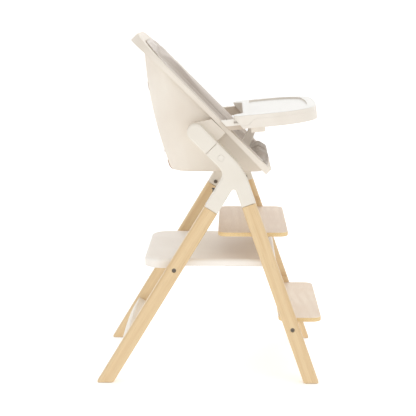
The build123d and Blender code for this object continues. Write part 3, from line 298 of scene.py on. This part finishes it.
# armrests: two-tone pale rail over a beige body, with painted shade kept as beige on their inward-facing
# faces
arm_plastic = plastic("armrest_plastic", srgb(212, 198, 182), srgb(203, 188, 170), 0.5,
                      second=srgb(243, 238, 230), where=arm_pale_rail_and_painted_shade)
lever_plastic = plastic("lever_plastic", srgb(236, 228, 216), srgb(228, 218, 204), 0.45)
button_plastic = plastic("button_plastic", srgb(237, 231, 221), srgb(232, 225, 213), 0.4, grain=2600)
cover_plastic = plastic("cover_plastic", srgb(206, 188, 170), srgb(190, 170, 150), 0.55)
trim_plastic = plastic("trim_plastic", srgb(196, 160, 128), srgb(178, 140, 108), 0.5)
dark_plastic = plastic("dark_plastic", srgb(84, 80, 78), srgb(66, 62, 60), 0.5)
retainer_plastic = plastic("retainer_plastic", srgb(182, 164, 150), srgb(164, 146, 132), 0.5)
buckle_plastic = plastic("buckle_plastic", srgb(188, 178, 168), srgb(176, 166, 155), 0.4)
buckle_button_plastic = plastic("buckle_button_plastic", srgb(226, 204, 186), srgb(216, 192, 172), 0.35)
bumper_rubber = plastic("bumper_rubber", srgb(240, 234, 224), srgb(228, 220, 208), 0.7,
                        grain=900, depth=0.00008)


def metal(name, color, roughness, along=(1, 0, 0)):
    """Plated steel with fine turning marks."""
    m = Maker(name, roughness=roughness, Metallic=1.0)
    scale = [2200 if not part else 60 for part in along]
    marks = m.noise(m.scaled(m.object, *scale), 1.0, 2, 0.6)
    stain = m.noise(m.object, 160, 3, 0.6)
    dull = darker(color, 0.6, 0.56, 0.52)
    tint = m.mix(m.math("MULTIPLY", m.span(stain, 0.4, 0.75), 0.5), color, dull)
    rough = m.span(marks, 0.3, 0.7, roughness - 0.08, roughness + 0.12)
    return m.finish(tint, rough, m.bump(marks, 0.00003, 0.5))


bolt_steel = metal("bolt_steel", srgb(128, 120, 110), 0.42)
screw_steel = metal("screw_steel", srgb(188, 186, 182), 0.34)
spring_steel = metal("spring_steel", srgb(170, 170, 172), 0.3)


def felt(name, color):
    m = Maker(name, roughness=0.95, Sheen_Weight=0.3, Sheen_Roughness=0.5)
    fibre = m.noise(m.object, 1400, 4, 0.7, 0.6)
    tint = m.mix(m.span(fibre, 0.35, 0.7), color, darker(color, 0.6, 0.6, 0.6))
    return m.finish(tint, 0.95, m.bump(fibre, 0.0003, 0.8))


glide_felt = felt("glide_felt", srgb(186, 172, 152))


def pad_fabric(name, color, dark, pale, bound=True):
    """Fine air-mesh with a pale woven binding along the rim of the pad."""
    m = Maker(name, roughness=0.9, Sheen_Weight=0.25, Sheen_Roughness=0.45)
    geometry = m.add("NewGeometry")
    pitch = math.pi / 0.0021
    x, y, z = m.xyz(m.object)
    facing = m.xyz(geometry.outputs["Normal"])[:3]
    nx, ny, nz = [m.math("POWER", m.math("ABSOLUTE", part), 3) for part in facing]
    sine = [m.math("ABSOLUTE", m.math("SINE", m.math("MULTIPLY", part, pitch))) for part in (x, y, z)]
    pair = [m.math("MULTIPLY", sine[1], sine[2]), m.math("MULTIPLY", sine[0], sine[2]),
            m.math("MULTIPLY", sine[0], sine[1])]
    total = m.math("ADD", m.math("ADD", nx, ny), nz)
    weave = m.math("ADD", m.math("ADD", m.math("MULTIPLY", pair[0], nx), m.math("MULTIPLY", pair[1], ny)),
                   m.math("MULTIPLY", pair[2], nz))
    weave = m.math("DIVIDE", weave, total)
    yarn = m.noise(m.object, 900, 3, 0.7)
    heather = m.noise(m.object, 70, 4, 0.7)
    tint = m.mix(m.span(weave, 0.25, 0.75), color, dark)
    tint = m.mix(m.math("MULTIPLY", m.span(yarn, 0.4, 0.7), 0.28), tint, dark)
    tint = m.mix(m.math("MULTIPLY", m.span(heather, 0.3, 0.75), 0.22), tint, pale)
    height = m.math("ADD", m.math("MULTIPLY", weave, -1.0), m.math("MULTIPLY", yarn, 0.4))
    if bound:
        lift = m.math("MULTIPLY", m.math("SUBTRACT", m.math("SUBTRACT", z, y), RIM_HEIGHT), ROOT_HALF)
        tape = m.span(lift, 0.0005, 0.0015)
        diagonal = m.math("MULTIPLY", m.math("ADD", m.math("ADD", x, y), z), 3200)
        twill = m.math("ABSOLUTE", m.math("SINE", diagonal))
        tape_color = m.mix(m.math("MULTIPLY", twill, 0.18), pale, color)
        tint = m.mix(tape, tint, tape_color)
        from_seam = m.math("ABSOLUTE", m.math("SUBTRACT", lift, SEAM_LIFT))
        seam = m.math("SUBTRACT", 1.0, m.span(from_seam, 0.0006, 0.0014))
        tint = m.mix(m.math("MULTIPLY", seam, 0.8), tint, pale)
    return m.finish(tint, m.span(yarn, 0.3, 0.8, 0.82, 0.96), m.bump(height, 0.0004, 0.6))


pad_cloth = pad_fabric("pad_fabric", srgb(236, 227, 219), srgb(197, 187, 178), srgb(238, 231, 224))
base_cloth = pad_fabric("pad_base_fabric", srgb(204, 195, 187), srgb(160, 150, 141), srgb(224, 217, 210),
                        bound=False)


def thread_material(name, color):
    m = Maker(name, roughness=0.7, Sheen_Weight=0.2)
    twist = m.noise(m.scaled(m.object, 2400, 2400, 2400), 1.0, 2, 0.6)
    tint = m.mix(m.math("MULTIPLY", m.span(twist, 0.4, 0.7), 0.3), color, darker(color, 0.7, 0.7, 0.7))
    return m.finish(tint, 0.7, m.bump(twist, 0.0002, 0.6))


pale_thread = thread_material("pale_thread", srgb(236, 230, 222))
piping_cloth = thread_material("piping_cloth", srgb(224, 216, 208))


def webbing_material(name, color, dark):
    """Herringbone webbing, laid out along the strap's own UV."""
    m = Maker(name, roughness=0.8, Sheen_Weight=0.2, Sheen_Roughness=0.4)
    uv = m.add("UVMap", {"uv_map": "UVMap"})
    u, v, _ = m.xyz(uv.outputs[0])
    fold = m.math("PINGPONG", u, 0.0031)
    diagonal = m.math("MULTIPLY", m.math("ADD", m.math("MULTIPLY", fold, 1.0), v), math.pi / 0.0016)
    rib = m.math("ABSOLUTE", m.math("SINE", diagonal))
    yarn = m.noise(m.scaled(uv.outputs[0], 2600, 700, 1), 1.0, 3, 0.6)
    tint = m.mix(m.math("MULTIPLY", rib, 0.45), color, dark)
    tint = m.mix(m.math("MULTIPLY", m.span(yarn, 0.4, 0.72), 0.3), tint, dark)
    height = m.math("ADD", m.math("MULTIPLY", rib, -0.8), m.math("MULTIPLY", yarn, 0.3))
    return m.finish(tint, m.span(yarn, 0.3, 0.8, 0.72, 0.88), m.bump(height, 0.0003, 0.7))


webbing_cloth = webbing_material("webbing", srgb(196, 186, 177), srgb(150, 140, 131))


# ------------------------------------------------------------------ CAD nodes take their finishes
def paint(material, *names):
    for name in names:
        data = nodes[name].data
        data.materials.clear()
        data.materials.append(material)
        for polygon in data.polygons:
            polygon.material_index = 0


paint(wood_rear, "rear_leg_left", "rear_leg_right")
paint(wood_front, "front_leg_left", "front_leg_right", "platform_dowels")
paint(wood_cross, "front_stretcher")
paint(wood_cream, "rear_stretcher")
step_z = {name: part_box(name)[0][2] for name in ("upper_step", "lower_step")}
paint(plywood("plywood_upper", step_z["upper_step"], 1.3,
              srgb(232, 214, 194), srgb(224, 203, 182), srgb(207, 183, 160)), "upper_step")
paint(plywood("plywood_lower", step_z["lower_step"], 4.9,
              srgb(242, 227, 208), srgb(234, 215, 193), srgb(214, 190, 164)), "lower_step")
paint(shell_plastic, "seat_shell")
paint(hub_plastic, "hub_left", "hub_right", "hub_inner_cover_left", "hub_inner_cover_right",
      "rear_leg_socket_left", "rear_leg_socket_right", "seat_mount_left", "seat_mount_right")
paint(platform_plastic, "platform")
paint(cover_plastic, "platform_cover")
paint(tray_plastic, "tray_base", "crotch_post")
paint(tray_top_plastic, "tray_cover")
paint(arm_plastic, "armrest_left", "armrest_right")
paint(lever_plastic, "tray_lever_left", "tray_lever_right")
paint(button_plastic, "release_button_left", "release_button_right")
paint(trim_plastic, "rear_edge_strip")
paint(dark_plastic, "seat_catches")
paint(retainer_plastic, "strap_retainers")
paint(buckle_plastic, "buckle", "strap_adjusters")
paint(buckle_button_plastic, "buckle_button")
paint(bumper_rubber, "step_bumpers")
paint(glide_felt, "foot_glides")
paint(bolt_steel, "leg_bolts", "socket_bolts", "bolt_nuts")
paint(screw_steel, "seat_mount_screws", "armrest_screws", "cover_screws", "step_stop_pins")
paint(spring_steel, "button_spring_left", "button_spring_right",
      "lever_spring_left", "lever_spring_right", "buckle_spring")


# ------------------------------------------------------------------ mesh helpers
def link(name, mesh, material, smooth=True):
    piece = bpy.data.objects.new(name, mesh)
    scene.collection.objects.link(piece)
    mesh.materials.clear()
    mesh.materials.append(material)
    if smooth:
        mesh.polygons.foreach_set("use_smooth", [True] * len(mesh.polygons))
    return piece


def surface_tree(*names):
    """Search tree over the surfaces of CAD nodes."""
    vertices, faces = [], []
    for name in names:
        data = nodes[name].data
        start = len(vertices)
        vertices += [v.co.copy() for v in data.vertices]
        faces += [[start + i for i in p.vertices] for p in data.polygons]
    return BVHTree.FromPolygons(vertices, faces)


def applied(piece):
    """Replaces the piece's mesh by what its modifiers make of it."""
    depsgraph = bpy.context.evaluated_depsgraph_get()
    mesh = bpy.data.meshes.new_from_object(piece.evaluated_get(depsgraph))
    materials = [slot.material for slot in piece.material_slots]
    piece.modifiers.clear()
    piece.data = mesh
    mesh.materials.clear()
    for material in materials:
        mesh.materials.append(material)
    return piece


def swept_tube(name, points, radius, material, sides=10):
    """Round tube along an open line of points."""
    bm = bmesh.new()
    count = len(points)
    rings = []
    previous = None
    for i, point in enumerate(points):
        tangent = points[min(i + 1, count - 1)] - points[max(i - 1, 0)]
        tangent.normalize()
        normal = previous if previous is not None else tangent.orthogonal().normalized()
        normal = (normal - tangent * normal.dot(tangent)).normalized()
        previous = normal
        binormal = tangent.cross(normal)
        ring = []
        for k in range(sides):
            a = 2 * math.pi * k / sides
            ring.append(bm.verts.new(point + (normal * math.cos(a) + binormal * math.sin(a)) * radius))
        rings.append(ring)
    for a, b in zip(rings, rings[1:]):
        for k in range(sides):
            bm.faces.new((a[k], a[(k + 1) % sides], b[(k + 1) % sides], b[k]))
    bm.faces.new(rings[0][::-1])
    bm.faces.new(rings[-1])
    mesh = bpy.data.meshes.new(name)
    bm.to_mesh(mesh)
    bm.free()
    return link(name, mesh, material)


# ------------------------------------------------------------------ seat pad
shell_tree = surface_tree("seat_shell")


def lift_of(point):
    """Height of a point above the shell's opening plane."""
    return (point.z - point.y - RIM_HEIGHT) * ROOT_HALF


def points_and_normals(mesh):
    return [v.co.copy() for v in mesh.vertices], [v.normal.copy() for v in mesh.vertices]


def move_to(mesh, points):
    mesh.vertices.foreach_set("co", [part for point in points for part in point])
    mesh.update()


def freedom(point, held, reach):
    """How freely the cloth moves: nothing against the shell, fully away from it."""
    near = shell_tree.find_nearest(point)
    return min(max((near[3] - held) / reach, 0.0), 1.0)


tray_slide = next(joint for joint in frame["joints"] if joint["name"] == "tray_slide")
slide_low, slide_high = tray_slide["range_m"]
SLIDE_STEPS = 7
post_travels = [Vector(tray_slide["axis"]) * (slide_low + (slide_high - slide_low) * step / SLIDE_STEPS)
                for step in range(SLIDE_STEPS + 1)]
post_tree = surface_tree("crotch_post")
POST_GAP = 0.0015


def clear_of_post(point):
    """Moves a point of the pad out of the way of the crotch post, wherever the tray stands."""
    for travel in post_travels:
        place, normal, face, distance = post_tree.find_nearest(point - travel, 0.02)
        if place is not None:
            point = point + normal * max(POST_GAP - (point - travel - place).dot(normal), 0.0)
    return point


INFLATE_FRAMES = 20


def cushion(node, name, material, voxel=0.005, start=0.0012, cap=0.007, wrinkle=0.0009, pressure=4.0):
    """Soft crowned form grown from a CAD pad solid by cloth pressure, held back where it meets the shell."""
    piece = link(name, nodes[node].data.copy(), material)
    welded = bmesh.new()
    welded.from_mesh(piece.data)
    bmesh.ops.remove_doubles(welded, verts=welded.verts, dist=0.00005)
    welded.to_mesh(piece.data)
    welded.free()
    remesh = piece.modifiers.new("remesh", "REMESH")
    remesh.mode = "VOXEL"
    remesh.voxel_size = voxel
    applied(piece)
    smooth = piece.modifiers.new("smooth", "SMOOTH")
    smooth.factor = 0.5
    smooth.iterations = 4
    applied(piece)
    rest, normals = points_and_normals(piece.data)
    free = [freedom(point, 0.004, 0.008) for point in rest]
    rest = [point - normal * start * share for point, normal, share in zip(rest, normals, free)]
    move_to(piece.data, rest)
    cloth = piece.modifiers.new("cloth", "CLOTH")
    cloth.settings.quality = 5
    cloth.settings.mass = 0.15
    cloth.settings.tension_stiffness = 12
    cloth.settings.compression_stiffness = 8
    cloth.settings.bending_stiffness = 0.4
    cloth.settings.use_pressure = True
    cloth.settings.uniform_pressure_force = pressure
    cloth.settings.effector_weights.gravity = 0
    cloth.point_cache.frame_start = 1
    cloth.point_cache.frame_end = INFLATE_FRAMES
    for number in range(1, INFLATE_FRAMES + 1):
        scene.frame_set(number)
    depsgraph = bpy.context.evaluated_depsgraph_get()
    blown = [v.co.copy() for v in piece.evaluated_get(depsgraph).data.vertices]
    piece.modifiers.clear()
    scene.frame_set(1)
    moves = [high - low for low, high in zip(rest, blown)]
    moves = [move * min(1.0, cap / max(move.length, 1e-9)) for move in moves]
    move_to(piece.data, [low + move * share for low, move, share in zip(rest, moves, free)])
    subdivide = piece.modifiers.new("subdivide", "SUBSURF")
    subdivide.levels = 1
    subdivide.render_levels = 1
    applied(piece)
    places, normals = points_and_normals(piece.data)
    shaped = []
    for point, normal in zip(places, normals):
        soft = noise.noise(point * 22.0) * 0.6 + noise.noise(point * 55.0 + Vector((3, 1, 7))) * 0.4
        seam = 0.0013 * math.exp(-((lift_of(point) - SEAM_LIFT) / 0.0022) ** 2)
        shaped.append(point + normal * (soft * wrinkle - seam) * freedom(point, 0.004, 0.01))
    move_to(piece.data, [clear_of_post(point) for point in shaped])
    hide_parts(node)
    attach(piece, "chair")
    return piece


pads = {
    "back": cushion("pad_back", "cushion_back", pad_cloth),
    "wing_left": cushion("pad_wing_left", "cushion_wing_left", pad_cloth),
    "wing_right": cushion("pad_wing_right", "cushion_wing_right", pad_cloth),
    "base": cushion("pad_base", "cushion_base", base_cloth, voxel=0.004, cap=0.0035, wrinkle=0.0005),
}


# ------------------------------------------------------------------ piping and stitches on the pads
ACROSS_RIM = Vector((0, -ROOT_HALF, ROOT_HALF))


def level_runs(piece, lift, clear=0.011):
    """Lines where the pad's inner side crosses a level above or below the opening plane."""
    bm = bmesh.new()
    bm.from_mesh(piece.data)
    cut = bmesh.ops.bisect_plane(bm, geom=bm.verts[:] + bm.edges[:] + bm.faces[:], dist=1e-6,
                                 plane_co=Vector((0, 0, RIM_HEIGHT)) + ACROSS_RIM * lift, plane_no=ACROSS_RIM)
    edges = [e for e in cut["geom_cut"] if isinstance(e, bmesh.types.BMEdge)]
    places = {}
    joined = {}
    for edge in edges:
        a, b = edge.verts
        for v in (a, b):
            places[v] = (v.co.copy(), v.normal.copy())
            joined.setdefault(v, [])
        joined[a].append(b)
        joined[b].append(a)
    inner = {v for v in joined if shell_tree.find_nearest(v.co)[3] > clear}
    runs, seen = [], set()
    order = sorted(inner, key=lambda v: (round(v.co.x, 5), round(v.co.y, 5), round(v.co.z, 5)))
    ends = [v for v in order if sum(o in inner for o in joined[v]) == 1]
    for first in ends + order:
        if first in seen:
            continue
        run, here = [], first
        while here is not None:
            seen.add(here)
            run.append(places[here])
            here = next((o for o in joined[here] if o in inner and o not in seen), None)
        runs.append(run)
    bm.free()
    return runs


def resampled(run, pitch, smoothing=4):
    """Evenly spaced points, with their normals, along a smoothed run."""
    points = [p for p, n in run]
    for _ in range(smoothing):
        inner = [(a + b * 2 + c) / 4 for a, b, c in zip(points, points[1:], points[2:])]
        points = [points[0]] + inner + [points[-1]]
    out, left = [], 0.0
    for (a, b), (_, na), (_, nb) in zip(zip(points, points[1:]), run, run[1:]):
        length = (b - a).length
        while left <= length and length > 0:
            t = left / length
            out.append((a.lerp(b, t), na.lerp(nb, t).normalized()))
            left += pitch
        left -= length
    return out


# place along one stitch, size and height of the thread there
THREAD_SECTIONS = ((-0.5, 0.35, -0.0002), (-0.34, 0.9, 0.0002), (0, 1, 0.0003), (0.34, 0.9, 0.0002),
                   (0.5, 0.35, -0.0002))


def stitches(name, line, material, length=0.0024, radius=0.00045):
    """Row of short raised threads along a line of points and normals."""
    bm = bmesh.new()
    for (point, normal), (after, _) in zip(line, line[1:]):
        along = (after - point).normalized()
        side = along.cross(normal).normalized()
        rings = []
        for share, size, rise in THREAD_SECTIONS:
            centre = point + along * length * share + normal * rise
            rings.append([bm.verts.new(centre + (side * math.cos(a) + normal * math.sin(a)) * radius * size)
                          for a in [2 * math.pi * k / 6 for k in range(6)]])
        for low, high in zip(rings, rings[1:]):
            for k in range(6):
                bm.faces.new((low[k], low[(k + 1) % 6], high[(k + 1) % 6], high[k]))
        bm.faces.new(rings[0][::-1])
        bm.faces.new(rings[-1])
    mesh = bpy.data.meshes.new(name)
    bm.to_mesh(mesh)
    bm.free()
    return link(name, mesh, material)


for part in ("back", "wing_left", "wing_right"):
    pad = pads[part]
    for number, run in enumerate(r for r in level_runs(pad, SEAM_LIFT) if len(r) > 30):
        row = stitches(f"stitches_{part}_{number}", resampled(run, 0.0038), pale_thread)
        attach(row, "chair")
    for number, run in enumerate(r for r in level_runs(pad, PIPING_LIFT) if len(r) > 30):
        line = [p + n * 0.0004 for p, n in resampled(run, 0.004, 8)]
        cord = swept_tube(f"piping_{part}_{number}", line, 0.0016, piping_cloth)
        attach(cord, "chair")


# ------------------------------------------------------------------ harness webbing
def smooth_path(points, steps):
    """Catmull-Rom samples through points."""
    out = []
    for i in range(len(points) - 1):
        before = points[max(i - 1, 0)]
        a, b = points[i], points[i + 1]
        after = points[min(i + 2, len(points) - 1)]
        for k in range(steps):
            t = k / steps
            out.append(0.5 * (2 * a + (b - before) * t + (2 * before - 5 * a + 4 * b - after) * t ** 2
                              + (3 * a - before - 3 * b + after) * t ** 3))
    out.append(points[-1].copy())
    return out


def strap(name, node, centres, across, width=0.025, thickness=0.0015, steps=14):
    """Woven strap with rolled selvedges and a row of stitches inside each edge."""
    centres = smooth_path([Vector(p) * mm for p in centres], steps)
    across = smooth_path([Vector(a) for a in across], steps)
    bm = bmesh.new()
    uv = bm.loops.layers.uv.new("UVMap")
    half = [(-0.5, 0.0), (-0.49, 0.46), (-0.45, 0.56), (-0.40, 0.42), (-0.2, 0.46), (0, 0.48),
            (0.2, 0.46), (0.40, 0.42), (0.45, 0.56), (0.49, 0.46), (0.5, 0.0)]
    outline = half + [(x, -z) for x, z in half[-2:0:-1]]
    rows, rims, travelled = [], [], 0.0
    for i, (centre, wide) in enumerate(zip(centres, across)):
        tangent = (centres[min(i + 1, len(centres) - 1)] - centres[max(i - 1, 0)]).normalized()
        wide = wide.normalized()
        normal = wide.cross(tangent).normalized()
        if i:
            travelled += (centre - centres[i - 1]).length
        rows.append([(bm.verts.new(centre + wide * x * width + normal * z * thickness), x * width, travelled)
                     for x, z in outline])
        rims.append([(centre + wide * width * side + normal * face * thickness * 0.46, normal * face)
                     for side in (-0.38, 0.38) for face in (-1, 1)])
    count = len(outline)
    for low, high in zip(rows, rows[1:]):
        for k in range(count):
            corners = (low[k], low[(k + 1) % count], high[(k + 1) % count], high[k])
            face = bm.faces.new([c[0] for c in corners])
            for loop, corner in zip(face.loops, corners):
                loop[uv].uv = (corner[1], corner[2])
    for row in (rows[0][::-1], rows[-1]):
        face = bm.faces.new([c[0] for c in row])
        for loop, corner in zip(face.loops, row):
            loop[uv].uv = (corner[1], corner[2])
    bmesh.ops.recalc_face_normals(bm, faces=bm.faces)
    mesh = bpy.data.meshes.new(name)
    bm.to_mesh(mesh)
    bm.free()
    piece = link(name, mesh, webbing_cloth)
    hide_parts(node)
    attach(piece, "chair")
    for number in range(4):
        line = resampled([rim[number] for rim in rims], 0.0034, 0)
        row = stitches(f"{name}_stitches_{number}", line, pale_thread, length=0.0022, radius=0.00032)
        row.parent = piece
    return piece


def on_harness(x, along, rise=0.0):
    """Point of the harness, in mm, this far up the seat back's slope and above it."""
    return (x, -14 + (along - rise) * ROOT_HALF, 652 + (along + rise) * ROOT_HALF)


for side, hand in ((1, "left"), (-1, "right")):
    strap(f"web_shoulder_{hand}", f"shoulder_strap_{hand}",
          [on_harness(side * 16, 19), on_harness(side * 24.8, 60, 1.6), on_harness(side * 33, 98),
           on_harness(side * 38, 122), on_harness(side * 46.5, 165, 1.4), on_harness(side * 53.6, 198),
           (side * 55, 136, 803.4), (side * 55, 143, 806), (side * 55, 175, 806)],
          [(1, 0, 0)] * 9)
    strap(f"web_waist_{hand}", f"waist_strap_{hand}",
          [(side * 31, -14, 652), (side * 36, -14, 652), (side * 70, 22, 646), (side * 98, 92, 640),
           (side * 98, 129, 640)],
          [(0, 1, 1), (0, 1, 1), (0, 0.1, 1), (0, 0, 1), (0, 0, 1)])
strap("web_crotch", "crotch_strap",
      [(0, -36, 572), (0, -36, 600), (0, -36, 624), (0, -34.4, 631.6), (0, -27.5, 638.5)], [(1, 0, 0)] * 5)


def coil(node, body, axis):
    """Coil spring: a copy of its CAD node in spring steel, attached to its body with a mesh of its own."""
    piece = link("coil_" + node, nodes[node].data.copy(), spring_steel)
    axis = Vector(axis).normalized()
    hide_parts(node)
    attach(piece, body)
    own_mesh(piece)


coil("button_spring_left", "chair", (1, 0, 0))
coil("button_spring_right", "chair", (1, 0, 0))
coil("lever_spring_left", "tray", ARM_UP)
coil("lever_spring_right", "tray", ARM_UP)
coil("buckle_spring", "chair", (0, -1, 1))


# ------------------------------------------------------------------ camera, floor and light
def aim(thing, place, direction):
    thing.location = place
    thing.rotation_euler = Vector(direction).to_track_quat("-Z", "Y").to_euler()


camera = bpy.data.objects.new("camera", bpy.data.cameras.new("camera"))
camera.data.sensor_width = 36
camera.data.lens = 109.87
camera.data.clip_end = 50
aim(camera, (-3.6555, -0.0613, 1.0543), (0.98646, 0.01864, -0.16292))
scene.collection.objects.link(camera)
scene.camera = camera

floor_maker = Maker("floor_paper", roughness=0.9)
paper = floor_maker.noise(floor_maker.object, 900, 3, 0.6)
floor_tint = floor_maker.mix(floor_maker.span(paper, 0.3, 0.7), srgb(250, 250, 250), srgb(247, 247, 247))
floor_maker.bsdf.inputs["Emission Color"].default_value = (1, 1, 1, 1)
floor_maker.bsdf.inputs["Emission Strength"].default_value = 0.35
floor_maker.finish(floor_tint, 0.9, floor_maker.bump(paper, 0.00005, 0.2))
# flat floor, a quarter round of SWEEP radius, then a wall: drawn in XZ and carried along Y
FLOOR_EDGE = 3.0
SWEEP = 2.5
SWEEP_STEPS = 16
REACH = 9.0
FLOOR_DROP = 0.0004
profile = [(-REACH, 0.0), (FLOOR_EDGE, 0.0)]
for k in range(1, SWEEP_STEPS + 1):
    a = math.pi / 2 * k / SWEEP_STEPS
    profile.append((FLOOR_EDGE + SWEEP * math.sin(a), SWEEP - SWEEP * math.cos(a)))
profile.append((FLOOR_EDGE + SWEEP, REACH))
bm = bmesh.new()
rows = [[bm.verts.new((x, y, z - FLOOR_DROP)) for y in (-REACH, -3.0, 3.0, REACH)] for x, z in profile]
for low, high in zip(rows, rows[1:]):
    for k in range(3):
        bm.faces.new((low[k], high[k], high[k + 1], low[k + 1]))
bmesh.ops.recalc_face_normals(bm, faces=bm.faces)
floor_mesh = bpy.data.meshes.new("floor")
bm.to_mesh(floor_mesh)
bm.free()
floor = link("floor", floor_mesh, floor_maker.material)

world = bpy.data.worlds.new("studio")
scene.world = world
world.use_nodes = True
world.node_tree.nodes["Background"].inputs[0].default_value = (1.0, 0.99, 0.975, 1)
world.node_tree.nodes["Background"].inputs[1].default_value = 0.7


def softbox(name, place, target, size, power, color=(1, 1, 1)):
    light = bpy.data.lights.new(name, "AREA")
    light.shape = "RECTANGLE"
    light.size, light.size_y = size
    light.energy = power
    light.color = color
    lamp = bpy.data.objects.new(name, light)
    aim(lamp, place, Vector(target) - Vector(place))
    scene.collection.objects.link(lamp)


softbox("key", (-2.4, -1.8, 2.9), (0, 0, 0.6), (2.2, 2.2), 15, (1, 0.985, 0.96))
softbox("fill", (-2.6, 2.2, 1.0), (0, 0, 0.35), (2.4, 1.6), 9)
softbox("top", (0.3, -0.2, 3.2), (0, 0, 0.5), (2.6, 2.6), 9)
softbox("far", (2.6, -0.8, 1.8), (0, 0, 0.6), (2.0, 2.0), 4)
scene.view_settings.view_transform = "Standard"
